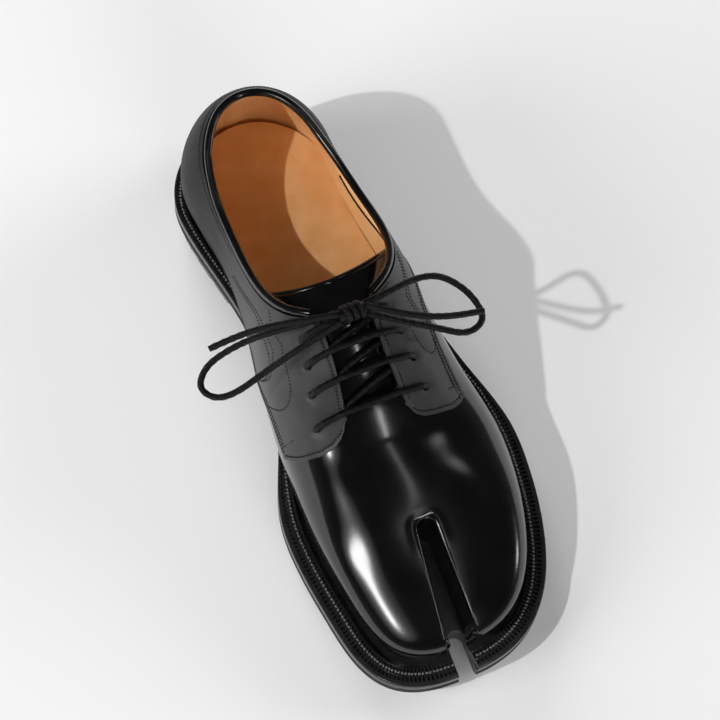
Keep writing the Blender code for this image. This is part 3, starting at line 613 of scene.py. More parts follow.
def lobeEnds(side, count):  # rib ends of one toe lobe, from behind the cleft to its rounded front corner
    s = np.linspace(cleft["root"], last["length"], 600)
    lip = cleftAxis(s) + side * cleftHalf(s)
    within = planShare(s, lip) < 1
    turn = np.radians(np.linspace(0, 90, 30))[:-1]
    root, radius = cleft["root"], cleft["rootRadius"]
    bend = np.stack([root - radius * np.cos(turn), cleftAxis(root) + side * radius * np.sin(turn)], axis=1)
    inner = np.concatenate([bend, np.stack([s, lip], axis=1)[within]])
    arcS, arcShare = toeArc(np.linspace(2, 90, 400), inset)
    edge = middle(arcS) + side * arcShare * (halfWidth(arcS) - inset(arcS))
    beyond = side * (edge - cleftAxis(arcS)) > cleftHalf(arcS)
    outer = np.stack([arcS, edge], axis=1)[beyond]
    corner = inner[-1]
    outer = outer[np.linalg.norm(outer - corner, axis=1) > cleft["cornerRound"]]
    inner = inner[np.linalg.norm(inner - corner, axis=1) > cleft["cornerRound"]]
    t = np.linspace(0, 1, 20)[1:, None]
    fillet = (1 - t) ** 2 * outer[-1] + 2 * t * (1 - t) * corner + t ** 2 * inner[-1]
    outer = np.concatenate([outer, fillet])
    return resample(outer, count, upper["cornerEase"]), resample(inner, count, upper["cornerEase"])


def ribAngles(top):
    tuckPart = np.linspace(-90, 0, upper["tuckColumns"] + 1)[:-1]
    t = np.linspace(0, 1, upper["archColumns"])
    return np.concatenate([tuckPart, top * (1 - (1 - t) ** 1.5)])


def shapeSkin(points):  # lips of the cleft, rim of its root, ridge down to it, swells over the toes
    s, x = points[..., 0], points[..., 1]
    away, roll = cleftDistance(s, x), cleft["lipRoll"]
    near = np.clip(away, 0, roll)
    fade = 1 - (1 - upper["lipKeep"]) * smoothStep(upper["lipFadeFrom"], upper["lipFadeTo"], s)
    before, after = upper["lipStart"]
    onToe = smoothStep(cleft["root"] - before, cleft["root"] - after, s)
    drop = (roll - np.sqrt(roll ** 2 - (roll - near) ** 2)) * onToe * fade
    grow, shrink = upper["ridgeFade"]
    window = smoothStep(upper["ridgeFrom"], upper["ridgeFrom"] + grow, s)
    window = window * (1 - smoothStep(upper["ridgeTo"] - shrink, upper["ridgeTo"], s))
    ridge = upper["ridge"] * window * np.exp(-((x - crestX(s)) / upper["ridgeWidth"]) ** 2)
    rim = upper["rim"] * np.exp(-((away - upper["rimAt"]) / upper["rimWidth"]) ** 2)
    rim = rim * (1 - smoothStep(cleft["root"], cleft["root"] + upper["rimRun"], s)) * onToe
    swell = 0
    for height, station, across, length, width in zip(*swells.values()):
        swell = swell + height * np.exp(-((s - station) / length) ** 2 - ((x - across) / width) ** 2)
    points[..., 2] += ridge + rim + swell - drop
    return points


def shapeRows(rows):  # the skin's top takes the shape, and the tuck below follows it
    skin, t = np.array(rows), upper["tuckColumns"]
    foot = footLine(skin[:, :t, 0])
    before = skin[:, t, 2].copy()
    skin[:, t:] = shapeSkin(skin[:, t:])
    stretch = (skin[:, t, 2] - foot[:, 0]) / (before - foot[:, 0])
    skin[:, :t, 2] = foot + (skin[:, :t, 2] - foot) * stretch[:, None]
    return skin


def cleftWall(skin, inners, side):
    wall = []
    for row, (s, x) in zip(skin[-len(inners):], inners):
        grow = np.clip((s - cleft["root"]) / cleft["floorBlend"], 0, 1)
        half = cleft["rootRadius"] + (cleft["floorHalf"] - cleft["rootRadius"]) * grow
        footX = cleftAxis(s) + side * half if grow > 0 else x
        low = np.array([s, footX, footLine(s)])
        wall.append(row[-1] + np.linspace(0, 1, upper["tuckColumns"] + 1)[:, None] * (low - row[-1]))
    return np.array(wall)


def upperRows(side):
    rows = []
    for angle in np.linspace(90, 4, upper["heelRows"]):
        outer, inner = heelEnds(angle, side)
        rows.append(rib(outer, inner, ribAngles(openAngle(outer[0]))))
    flank = np.concatenate([np.arange(*steps) for steps in upper["flank"]])
    close = last["throatRound"] + (last["throatEnd"] - last["throatRound"]) * np.sin(np.linspace(0, 1.5, 10))
    for s in np.concatenate([flank, close]):
        rows.append(flankPoints(s, side, ribAngles(openAngle(s, throatClose(s)))))
    for s in np.arange(*upper["vamp"]):
        rows.append(flankPoints(s, side, ribAngles(90)))
    outers, inners = lobeEnds(side, upper["lobeRibs"])
    start = upper["lobeStart"]
    for step in np.linspace(0, 1, 18)[:-1]:
        back = start + (inners[0][0] - start) * (1 - (1 - step) ** 1.7)
        outer, _ = flankEnds(start + (outers[0][0] - start) * step, side)
        inner = (back, crestX(back) + (inners[0][1] - crestX(back)) * step)
        rows.append(rib(outer, inner, ribAngles(closedAngle(outer, inner))))
    for outer, inner in zip(outers, inners):
        rows.append(rib(outer, inner, ribAngles(closedAngle(outer, inner))))
    skin, t = shapeRows(rows), upper["tuckColumns"]
    wall = cleftWall(skin, inners, side)
    # the tuck of the front corner leans over to meet the cleft's wall
    turn = wall[-1][:0:-1] - skin[-1, :t]
    near = 1 - np.linalg.norm(outers - outers[-1], axis=1) / (2 * cleft["cornerRound"])
    for row, weight in zip(skin[-len(outers):], np.clip(near, 0, 1) ** 1.5):
        row[:t] += weight * turn
    return skin, wall


def buildUpper():
    bm = bmesh.new()
    for side in (lateral, medial):
        for grid in upperRows(side):
            gridShape(bm, grid)
    bmesh.ops.remove_doubles(bm, verts=bm.verts, dist=0.03 * mm)
    faceOut(bm, place(150, crestX(150), last["innerAxis"]))
    piece = finishMesh(bm, "vampLeather", polished, smooth=60)
    thicken(piece, upper["leather"])
    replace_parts(piece, "upper")
    return piece


buildUpper()
print("upper lasted")

# quarters: overlays with the lace facings

quarter = {
    "lift": 0.4, "thickness": 1.25, "edge": 0.4, "columns": 84, "frontRows": 60, "heelRows": 24,
    "dent": 0.8, "dentWidth": 2.6, "hole": 1.7, "groove": 0.3, "grooveWidth": 0.6, "edgeRows": (2.0, 4.2),
    "collarFront": 124, "facingBlend": 10,
}
quarterNames = {lateral: "lateral", medial: "medial"}
quarterLow = {side: spline(quarterFoot, name) for side, name in quarterNames.items()}


def quarterEnd(side, share):
    return np.interp(share, quarterFront["share"], quarterFront[quarterNames[side]])


def quarterAngles(side, s, share):
    low = quarterLow[side](s)
    return low + share * (openAngle(s) - low)


def eyeletSpots(side, grid):  # points of a quarter's grid nearest to the eyelets
    flat = grid.reshape(-1, 3)
    for s, reach in zip(eyeletTable["station"], eyeletTable["reach"]):
        yield flat[np.argmin(np.hypot(flat[:, 0] - s, flat[:, 1] - crestX(s) - side * reach))]


def quarterGrid(side):
    share = np.linspace(0, 1, quarter["columns"])
    rows = []
    for angle in np.linspace(89.7, 4, quarter["heelRows"]):
        outer, inner = heelEnds(angle, side)
        rows.append(rib(outer, inner, quarterAngles(side, outer[0], share)))
    top, front = last["facingTop"], quarter["collarFront"]
    for s in np.concatenate([np.arange(last["heelRound"], front, 3.0), np.arange(front, top, 1.0), [top]]):
        rows.append(flankPoints(s, side, quarterAngles(side, s, share)))
    end = quarterEnd(side, share)
    for step in np.linspace(0, 1, quarter["frontRows"])[1:]:
        s = top + step * (end - top)
        rows.append(flankPoints(s, side, quarterAngles(side, s, share)))
    return np.array(rows)


def pressQuarter(side, grid):  # eyelet dents and the grooves that stitches pull into the leather
    press = np.zeros(grid.shape[:2])
    for spot in eyeletSpots(side, grid):
        press += quarter["dent"] * np.exp(-(np.linalg.norm(grid - spot, axis=-1) / quarter["dentWidth"]) ** 2)
    up = np.array([runAlong(row) for row in grid])
    ahead = np.array([runAlong(column[::-1])[::-1] for column in grid.transpose(1, 0, 2)]).T
    front = quarter["collarFront"]
    facing = smoothStep(front, front + quarter["facingBlend"], grid[..., 0])
    first, second = quarter["edgeRows"]
    rows = ((up - first, 1), (up - second, 1), (up[:, -1:] - up - first, facing), (ahead - first, 1))
    for away, weight in rows:
        press += quarter["groove"] * weight * np.exp(-(away / quarter["grooveWidth"]) ** 2)
    return press[..., None]


def buildQuarter(side, name, node):
    grid = quarterGrid(side)
    normals = gridNormals(grid)
    skin = grid + normals * (quarter["lift"] + quarter["thickness"] - pressQuarter(side, grid))
    bm = bmesh.new()
    gridShape(bm, skin)
    spots = [Vector(place(*spot)) for spot in eyeletSpots(side, skin)]
    hole = quarter["hole"] * mm
    holed = [f for f in bm.faces if min((f.calc_center_median() - spot).length for spot in spots) < hole]
    bmesh.ops.delete(bm, geom=holed, context="FACES")
    faceOut(bm, place(110, crestX(110), last["innerAxis"]))
    piece = finishMesh(bm, name, satin, smooth=60)
    thicken(piece, quarter["thickness"], quarter["edge"])
    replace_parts(piece, node)
    return piece


buildQuarter(medial, "quarterMedial", "quarter_medial")
buildQuarter(lateral, "quarterLateral", "quarter_lateral")
print("quarters laid on")

# stitches: one bead for each, laid along lines of the quarters and the cleft

stitch = {
    "length": 1.35, "pitch": 1.6, "radius": 0.42, "sink": 0.02, "collarDrop": 3.4, "collarEnd": 84,
    "lip": 0.8, "lipPitch": 1.15, "lipLength": 0.85, "lipRadius": 0.27,
    "frontShares": (0.07, 0.95), "facingFrom": 128, "footFrom": 52, "seamHeight": 50,
    "doubleAhead": 1.6, "doubleUp": 0.035, "tackBack": 7.0, "tackLean": 0.6, "tackShares": (0.12, 0.30),
}
quarterSeams = (
    (medial, (
        (85.5, 0.78), (100, 0.80), (114.5, 0.77), (122, 0.66), (129, 0.53), (136, 0.38), (139, 0.27),
        (136, 0.12),
    )),
    (medial, (
        (118, 0.97), (127, 0.75), (135.5, 0.60), (145, 0.54), (153, 0.48), (156, 0.40), (154.5, 0.22),
        (149, 0.08),
    )),
    (lateral, (
        (112, 0.92), (118, 0.70), (125.5, 0.50), (135, 0.32), (141, 0.22), (143.5, 0.13), (141, 0.05),
    )),
    (lateral, (
        (136, 0.80), (141, 0.62), (148.5, 0.49), (154, 0.44), (158, 0.36), (157, 0.18), (151, 0.06),
    )),
)
doubleSeams = (0, 2)


def addStitch(bm, point, ahead, up, length, radius):
    ahead = unit(ahead - up * np.dot(ahead, up))
    turn = Matrix((ahead, np.cross(up, ahead), up)).transposed().to_4x4()
    turn.translation = Vector(point)
    size = Matrix.Diagonal((length / 2 * mm, radius * mm, radius * mm, 1.0))
    bmesh.ops.create_icosphere(bm, subdivisions=1, radius=1.0, matrix=turn @ size)


def stitchLine(bm, points, normals, pitch, length, radius):
    line, up = place(*points.T), normals * (1, -1, 1)
    run = runAlong(line) / mm
    ahead = np.gradient(line, axis=0)
    for at in np.arange(pitch / 2, run[-1], pitch):
        pick = [[np.interp(at, run, column) for column in values.T] for values in (line, ahead, up)]
        point, forward, lift = np.array(pick)
        addStitch(bm, point, forward, unit(lift), length, radius)


def threadMesh(bm, name, material):
    return finishMesh(bm, name, material, merge=0.001, smooth=80)


def quarterSkin(side, s, share, lift):  # points and normals on the outside of a quarter
    points = flankPoints(s, side, quarterAngles(side, s, share))
    ahead = flankPoints(s + 0.3, side, quarterAngles(side, s + 0.3, share)) - points
    up = flankPoints(s, side, quarterAngles(side, s, share - 0.004)) - points
    normals = outward(unit(np.cross(ahead, up)), points)
    return points + normals * lift, normals


def shareFrom(side, s, distance):  # share of a quarter's height, from its lower or, if minus, top edge
    share = np.linspace(0, 1, 80)
    found = []
    for at in s:
        run = runAlong(flankPoints(at, side, quarterAngles(side, at, share)))
        found.append(np.interp(distance if distance > 0 else run[-1] + distance, run, share))
    return np.array(found)


def quarterLines(side):  # facing, front and lower edges, then the seams
    first, second = quarter["edgeRows"]
    share = np.linspace(*stitch["frontShares"], 60)
    yield quarterEnd(side, share) - first, share
    s = np.linspace(stitch["facingFrom"], quarterEnd(side, 1.0) - first, 60)
    yield s, shareFrom(side, s, -first)
    for distance in (first, second):
        s = np.linspace(stitch["footFrom"], quarterEnd(side, 0.02) - distance, 150)
        yield s, shareFrom(side, s, distance)
    corner = quarterEnd(side, 0.15) - stitch["tackBack"]
    yield np.array([corner, corner + stitch["tackLean"]]), np.array(stitch["tackShares"])
    height = stitch["seamHeight"]
    for number, (way, line) in enumerate(quarterSeams):
        if way == side:
            path = smoothRoute([(s, share * height, 0) for s, share in line], 0.5)[0]
            yield path[:, 0], path[:, 1] / height
            if number in doubleSeams:
                yield path[:, 0] + stitch["doubleAhead"], path[:, 1] / height + stitch["doubleUp"]


def buildStitches():
    bm = bmesh.new()
    lift = quarter["lift"] + quarter["thickness"] - stitch["sink"]
    for side in (medial, lateral):
        for line in quarterLines(side):
            skin = quarterSkin(side, *line, lift)
            stitchLine(bm, *skin, stitch["pitch"], stitch["length"], stitch["radius"])
    threadMesh(bm, "seamThread", threadBlack)
    bm = bmesh.new()
    for side in (medial, lateral):
        s = np.linspace(cleft["root"] + 1, upper["lipFadeTo"] - 1, 120)
        x = cleftAxis(s) + side * (cleftHalf(s) + stitch["lip"])
        points = shapeSkin(np.stack([s, x, archHeight(s, planShare(s, x))], axis=-1))
        normals = np.tile(unit(np.array([0.0, -0.5 * side, 1.0])), (len(s), 1))
        stitchLine(bm, points, normals, stitch["lipPitch"], stitch["lipLength"], stitch["lipRadius"])
    # the cleft's lip stitches, in thread painted light grey for their glints
    threadMesh(bm, "cleftThread", glintThread)


buildStitches()
print("seams stitched")

# lining: tan leather inside the collar, with a taped back seam

lining = {
    "depth": 1.9, "thickness": 0.8, "front": 131.0, "tape": 0.7, "tapeHalf": 4.0, "tapeEdge": 0.7,
    "heelRows": 40, "rowStep": 2.5, "columns": 48, "lowAngle": -82, "seamAngle": -40,
    "seamFrom": 60.0, "seamTo": 126.0, "seamDrop": (13.0, 8.0), "seamRadius": 0.75,
}


def pointDown(row, drop):  # point at a given run from the start of a rib
    return [np.interp(drop, runAlong(row), row[:, axis]) for axis in range(3)]


def liningAngles(s):
    return np.linspace(lining["lowAngle"], openAngle(s), lining["columns"])


def buildLining():
    bm = bmesh.new()
    for side in (lateral, medial):
        rows = []
        for angle in np.linspace(90, 4, lining["heelRows"]):
            outer, inner = heelEnds(angle, side)
            rows.append(rib(outer, inner, liningAngles(outer[0])))
        for s in np.arange(last["heelRound"], lining["front"], lining["rowStep"]):
            rows.append(flankPoints(s, side, liningAngles(s)))
        grid = np.array(rows)
        offCentre = np.abs(grid[..., 1:2] - middle(0.0))
        half = lining["tapeHalf"]
        tape = lining["tape"] * (1 - smoothStep(half - lining["tapeEdge"], half, offCentre))
        atBack = grid[..., :1] < last["heelRound"] / 2
        grid = grid - gridNormals(grid) * (lining["depth"] + tape * atBack)
        if side == lateral:
            seam = grid[0].copy()
        else:
            grid[0] = seam
        gridShape(bm, grid)
    bmesh.ops.remove_doubles(bm, verts=bm.verts, dist=0.05 * mm)
    faceOut(bm, place(90, crestX(90), last["innerAxis"]))
    bmesh.ops.reverse_faces(bm, faces=bm.faces)
    piece = finishMesh(bm, "collarLining", tan, smooth=60)
    thicken(piece, lining["thickness"])
    # open seam below the collar on the outer side
    stations = np.linspace(lining["seamFrom"], lining["seamTo"], 60)
    low = lining["seamAngle"]
    rows = np.array([flankPoints(s, lateral, np.linspace(openAngle(s), low, 120)) for s in stations])
    rows = rows - gridNormals(rows) * lining["depth"]
    drops = np.linspace(*lining["seamDrop"], len(rows))
    bm = bmesh.new()
    line = np.array([pointDown(row, drop) for row, drop in zip(rows, drops)])
    addTube(bm, line, lining["seamRadius"], None, 8)
    cordMesh(bm, "liningSeam", threadBlack)


buildLining()

# binding: rolled edge round the collar, and the row of stitches below it

binding = {
    "radius": 1.9, "standoff": 0.4, "sides": 16, "points": 260,
    "front": (132.3, 124, -0.9), "flank": (124, 42, -2.5), "heelTurns": (6, 84, 14), "stitchAngle": -40,
}


def collarEnds():
    stations = np.concatenate([np.arange(*binding["front"]), np.arange(*binding["flank"])])
    turns = np.linspace(*binding["heelTurns"])
    ends = [flankEnds(s, lateral) for s in stations] + [heelEnds(a, lateral) for a in [*turns, 90]]
    return ends + [heelEnds(a, medial) for a in turns[::-1]] + [flankEnds(s, medial) for s in stations[::-1]]


def collarPath():
    ends = collarEnds()
    tops = [openAngle(outer[0]) for outer, inner in ends]
    rim = np.array([rib(*end, [top])[0] for end, top in zip(ends, tops)])
    below = np.array([rib(*end, [top - 5])[0] for end, top in zip(ends, tops)])
    run = unit(np.gradient(rim, axis=0))
    rising = rim - below
    rising = unit(rising - run * np.sum(rising * run, axis=1, keepdims=True))
    return resample(rim + rising * (binding["radius"] + binding["standoff"]), binding["points"])


def collarStitchLine(drop, lift):
    ends = [end for end in collarEnds() if end[0][0] < stitch["collarEnd"]]
    low = binding["stitchAngle"]
    rows = np.array([rib(*end, np.linspace(openAngle(end[0][0]), low, 60)) for end in ends])
    normals = gridNormals(rows)
    pick = [np.argmax(runAlong(row) > drop) for row in rows]
    at = np.arange(len(rows))
    line = np.array([pointDown(row, drop) for row in rows])
    return line + normals[at, pick] * lift, normals[at, pick]


def buildBinding():
    bm = bmesh.new()
    addTube(bm, collarPath(), binding["radius"], None, binding["sides"])
    piece = cordMesh(bm, "collarBinding", polished)
    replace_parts(piece, "collar_binding")
    bm = bmesh.new()
    line = collarStitchLine(stitch["collarDrop"], quarter["lift"] + quarter["thickness"])
    stitchLine(bm, *line, stitch["pitch"], stitch["length"], stitch["radius"])
    threadMesh(bm, "collarThread", threadBlack)


buildBinding()

# tongue: glossy sheet under the laces, with a rolled top edge

tongue = {
    "depth": 3.1, "thickness": 1.6, "dip": 10.0, "edge": 0.6, "roll": 1.5, "wave": 0.06, "waveLength": 15.0,
}


def tongueGrid():
    across = np.linspace(-1, 1, 61)
    start = tongueTable["station"][0]
    rows = []
    for s in np.linspace(start, tongueTable["station"][-1], 90):
        dip = tongue["dip"] * np.clip((last["facingTop"] - s) / (last["facingTop"] - start), 0, 1)
        at = s + dip * (1 - across ** 2)
        half = np.interp(at, tongueTable["station"], tongueTable["halfShare"])
        share = across * half
        x = middle(at) + lean(at) * (1 - share ** 2) + share * (halfWidth(at) - inset(at))
        edge = archHeight(at, half)
        crest = np.interp(at, tongueTable["station"], tongueTable["crest"])
        crest = np.minimum(crest, archHeight(at, 0 * at))
        rows.append(np.stack([at, x, edge + (crest - edge) * (1 - across ** 2)], axis=-1))
    return np.array(rows)


def buildTongue():
    grid = tongueGrid()
    wave = tongue["wave"] * np.sin(2 * np.pi * grid[..., :1] / tongue["waveLength"])
    grid = grid - gridNormals(grid) * (tongue["depth"] + tongue["wave"] + wave)
    bm = bmesh.new()
    gridShape(bm, grid)
    faceOut(bm, place(150, crestX(150), 0))
    piece = finishMesh(bm, "tongueLeather", polished, smooth=60)
    thicken(piece, tongue["thickness"], tongue["edge"])
    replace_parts(piece, "tongue")
    bm = bmesh.new()
    addTube(bm, resample(grid[0] - (0, 0, tongue["thickness"] / 2), 90), tongue["roll"], None)
    cordMesh(bm, "tongueRoll", polished)


buildTongue()
print("lining, binding and tongue made")

# sole: tread, midsole and platform, split at the toe

sole = {
    "weltThick": 4.3, "midsoleThick": 4.8, "weltSeat": 14.0, "midsoleInset": 0.8, "taper": 2.5, "edge": 0.5,
    "platformGap": 0.3, "seatLap": 0.1, "cutFront": 14, "cutFrom": -60, "cutTall": 140,
}
lugs = table(
    "first last count width height depth",
    (20, 65, 4, 5.0, 5.5, 9.0),
    (172, 262, 7, 4.0, 3.2, 7.0),
)


def slab(bm, plan, under, top, bottom):  # closed solid between two heights over rows of two outlines
    (s, left, right), (sLow, leftLow, rightLow) = plan, under
    ring = [(s, left, top), (s, right, top), (sLow, rightLow, bottom), (sLow, leftLow, bottom)]
    ring.append(ring[0])
    gridShape(bm, np.stack([np.stack([at, x, height(at)], axis=-1) for at, x, height in ring], axis=1))
    bmesh.ops.remove_doubles(bm, verts=bm.verts, dist=0.01 * mm)
    bmesh.ops.holes_fill(bm, edges=[e for e in bm.edges if e.is_boundary], sides=4)
    bmesh.ops.recalc_face_normals(bm, faces=bm.faces)


def newCutter(bm, name):
    bmesh.ops.recalc_face_normals(bm, faces=bm.faces)
    return addObject(name, takeMesh(bm, name))


def notchCutter(name, begin, half, frontHalf):
    turn = np.radians(np.linspace(-90, 90, 21))
    arc = np.stack([begin - half * np.cos(turn), cleftAxis(begin) + half * np.sin(turn)], axis=1)
    front = last["length"] + sole["cutFront"]
    path = np.concatenate([arc, [[front, cleftAxis(front) + side * frontHalf] for side in (lateral, medial)]])
    bm = bmesh.new()
    face = bm.faces.new([bm.verts.new(p) for p in place(path[:, 0], path[:, 1], sole["cutFrom"])])
    top = bmesh.ops.extrude_face_region(bm, geom=[face])["geom"]
    top = [v for v in top if isinstance(v, bmesh.types.BMVert)]
    bmesh.ops.translate(bm, vec=(0, 0, sole["cutTall"] * mm), verts=top)
    return newCutter(bm, name)


def fineRows(inner):
    return planRows(inner, finePlan["heel"], finePlan["flank"], finePlan["toe"])


def planLimit(s):
    heel = np.clip((last["heelRound"] - s) / last["heelRound"], 0, 1) ** last["heelPower"]
    toe = np.clip((s - last["toeStart"]) / (last["length"] - last["toeStart"]), 0, 1) ** last["toePower"]
    return (1 - heel) ** (1 / last["heelPower"]) * (1 - toe) ** (1 / last["toePower"])


def lugCutter():
    bm = bmesh.new()
    for first, final, count, width, height, depth in zip(*lugs.values()):
        for s in np.linspace(first, final, int(count)):
            for side in (lateral, medial):
                edge = centre(s) + side * planLimit(s) * halfWidth(s)
                cube = bmesh.ops.create_cube(bm, size=1.0)["verts"]
                bmesh.ops.scale(bm, vec=(2 * depth * mm, width * mm, 2 * height * mm), verts=cube)
                bmesh.ops.translate(bm, vec=place(s, edge, tread(s)), verts=cube)
    return newCutter(bm, "lugCutter")


# sole layers default to the rubber whose grey base paints the floor's reflection
def soleLayer(name, outlines, heights, cutters, material=greyRubberPaintedSheen):
    bm = bmesh.new()
    slab(bm, *outlines, *heights)
    piece = finishMesh(bm, name, material, smooth=35)
    for cutter in cutters:
        cut(piece, cutter)
    applyModifiers(piece)
    soften(piece, sole["edge"], 2, 35)
    applyModifiers(piece)
    piece.data.shade_smooth()
    piece.data.set_sharp_from_angle(angle=math.radians(35))
    return piece


def weltUnder(s):
    return weltTop(s) - sole["weltThick"]


def midsoleTop(s):
    return weltUnder(s) - last["gap"]


def midsoleUnder(s):
    return midsoleTop(s) - sole["midsoleThick"]


def treadTop(s):
    return midsoleUnder(s) - last["gap"]


def platformTop(s):
    return weltTop(s) - sole["platformGap"]


def buildSole():
    notch = notchCutter("soleNotch", cleft["slotEnd"], cleft["floorHalf"], cleft["floorHalf"])
    tooth = lugCutter()
    outline, waist = fineRows(steady(0)), fineRows(steady(sole["midsoleInset"]))
    seat, taper = fineRows(steady(sole["weltSeat"] + sole["seatLap"])), fineRows(steady(sole["taper"]))
    piece = soleLayer("treadRubber", (outline, taper), (treadTop, tread), [notch, tooth])
    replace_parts(piece, "outsole")
    piece = soleLayer("midsoleRubber", (waist, waist), (midsoleTop, midsoleUnder), [notch])
    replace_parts(piece, "midsole")
    soleLayer("midsolePlatform", (seat, seat), (platformTop, midsoleTop), [notch])
    for cutter in (notch, tooth):
        bpy.data.objects.remove(cutter, do_unlink=True)


buildSole()

# welt: a strip swept round the sole, notched at its edge and stitched inside the notches

welt = {
    "step": 0.35, "pitch": 2.1, "notch": 1.0, "notchShare": 0.5, "notchSharp": 1.4,
    "stitchAt": 5.0, "stitchPitch": 1.9, "stitchLength": 1.6, "stitchRadius": 0.5, "stitchSink": 0.1,
    "slant": 0.45, "fullInset": 8.4, "narrowest": 0.6, "widest": 1.2,
}
weltSection = table(
    "inward height notched",
    (0.0, -0.8, 0), (0.12, -0.35, 0), (0.4, -0.08, 0), (0.8, 0, 0), (1.9, 0, 0), (2.1, 0, 0.6), (2.6, 0, 1),
    (3.8, 0, 1), (4.2, 0, 0.6), (4.4, -0.3, 0), (5.6, -0.3, 0), (5.8, 0, 0.6), (6.2, 0, 1), (7.0, 0, 1),
    (7.3, -0.1, 0.6), (7.6, -0.8, 0), (8.0, -3.2, 0),
)


def weltPath():  # once round the sole, from one side of the toe's notch to the other
    s, left, right = planRows(steady(0), np.linspace(90, 1, 90), flankSteps(1.0), np.linspace(1, 90, 160))
    path = np.concatenate([np.stack([s, right], axis=1)[::-1], np.stack([s, left], axis=1)[1:]])
    beside = np.abs(path[:, 1] - cleftAxis(path[:, 0])) > cleft["floorHalf"]
    path = path[beside | (path[:, 0] < cleft["slotEnd"])]
    path = resample(path, round(runAlong(path)[-1] / welt["step"]))
    ahead = unit(np.gradient(path, axis=0))
    return path, np.stack([-ahead[:, 1], ahead[:, 0]], axis=1)


def weltScale(s):  # the rows move closer together where the upper leaves less of the welt bare
    return np.clip(inset(s) / welt["fullInset"], welt["narrowest"], welt["widest"])


def buildWelt():
    path, inward = weltPath()
    run = runAlong(path)
    wave = np.clip(welt["notchShare"] - welt["notchSharp"] * np.cos(2 * np.pi * run / welt["pitch"]), 0, 1)
    scale, top = weltScale(path[:, 0]), weltTop(path[:, 0])
    columns = []
    for depth, height, notched in zip(*weltSection.values()):
        at = path + inward * (depth * scale)[:, None]
        columns.append(np.column_stack([at, top + height - welt["notch"] * notched * wave]))
    seat = path + inward * sole["weltSeat"]
    columns.append(np.column_stack([seat, top + weltSection["height"][-1]]))
    columns.append(np.column_stack([seat, top - sole["weltThick"]]))
    columns.insert(0, np.column_stack([path, top - sole["weltThick"]]))
    columns.append(columns[0])
    bm = bmesh.new()
    gridShape(bm, np.stack(columns, axis=1))
    bmesh.ops.remove_doubles(bm, verts=bm.verts, dist=0.005 * mm)
    bmesh.ops.holes_fill(bm, edges=[e for e in bm.edges if e.is_boundary], sides=40)
    bmesh.ops.recalc_face_normals(bm, faces=bm.faces)
    piece = finishMesh(bm, "weltStrip", rubber, merge=0.005, smooth=50)
    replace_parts(piece, "welt")
    bm = bmesh.new()
    for number, at in enumerate(np.arange(welt["stitchPitch"], run[-1], welt["stitchPitch"])):
        i = np.searchsorted(run, at)
        s, x = path[i] + inward[i] * welt["stitchAt"] * scale[i]
        ahead = np.array([inward[i][0], -inward[i][1]]) * (1 if number % 2 else -1) * welt["slant"]
        ahead = ahead[::-1] * (1, -1) + np.array([-inward[i][0], inward[i][1]])
        spot, up = place(s, x, top[i] - welt["stitchSink"]), np.array([0, 0, 1.0])
        addStitch(bm, spot, np.array([*ahead, 0.0]), up, welt["stitchLength"], welt["stitchRadius"])
    # welt stitches, in thread painted light grey for their glints
    threadMesh(bm, "weltThread", glintThread)


buildWelt()

# insole: tan leather bed with a cushion under the heel

insole = {
    "ball": 3.2, "heel": 14.0, "heelEnd": 70, "ballStart": 175, "room": 1.7, "lift": 0.1, "fit": 1.3,
    "backGap": 3.2, "backEnd": 40,
}
insoleClear = table("station share", (0, 0.2), (70, 0.2), (120, 0.4), (175, 1.0), (290, 1.0))


def insoleUnder(s):
    return weltTop(s) + insole["lift"]


def insoleTop(s):
    cushion = 1 - smoothStep(insole["heelEnd"], insole["ballStart"], s)
    return insoleUnder(s) + insole["ball"] + (insole["heel"] - insole["ball"]) * cushion


def insolePlan(clear):
    def inner(s):
        back = insole["backGap"] * (1 - smoothStep(0, insole["backEnd"], s))
        return inset(s) + clear(s) * tuck(s) + insole["fit"] + back

    s, left, right = fineRows(inner)
    share = (halfWidth(s) - inner(s)) / (halfWidth(s) - inset(s))
    sway = shift(s) + lean(s) * (1 - share ** 2)
    return s, left + sway, right + sway


def buildInsole():
    room = last["wall"] + insole["room"]
    bed = insolePlan(lambda s: np.interp(s, insoleClear["station"], insoleClear["share"]))
    under = insolePlan(steady(1))
    rootHalf, frontHalf = cleft["rootRadius"] + room, cleftHalf(last["length"]) + room
    split = notchCutter("insoleSplit", cleft["root"], rootHalf, frontHalf)
    piece = soleLayer("insoleLeather", (bed, under), (insoleTop, insoleUnder), [split], tan)
    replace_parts(piece, "insole")
    bpy.data.objects.remove(split, do_unlink=True)


buildInsole()
print("sole and insole made")

# lace bars over the facings, through the eyelets, and crossings under them

bars = {
    "clear": 0.1, "crossReach": 1.5, "crossDrop": 1.3, "crossShift": 2.0, "intoHole": 2.6, "edgeDip": 1.3,
    "beforeHole": (2.2, 0.4, -0.5),
}


def laceHeight(s, x):
    lift = quarter["lift"] + quarter["thickness"] + lace["radius"] + bars["clear"]
    share = planShare(np.full(np.shape(x), s), x)
    nudge = 0.01
    slope = (archHeight(s, share + nudge) - archHeight(s, share)) / (nudge * (halfWidth(s) - inset(s)))
    return archHeight(s, share) + lift * np.sqrt(1 + slope ** 2)


def barRoute(s, reach):
    gap = halfGap(s)
    half = np.array([gap, (reach + gap) / 2, *(reach - step for step in bars["beforeHole"])])
    x = crestX(s) + np.concatenate([-half[::-1], [0], half])
    z = laceHeight(s, x)
    z[5] = (z[4] + z[6]) / 2
    for end, dip in ((0, bars["intoHole"] + lace["radius"]), (1, bars["edgeDip"])):
        z[end] -= dip
        z[-1 - end] -= dip
    return np.stack([np.full(len(x), s), x, z], axis=1)


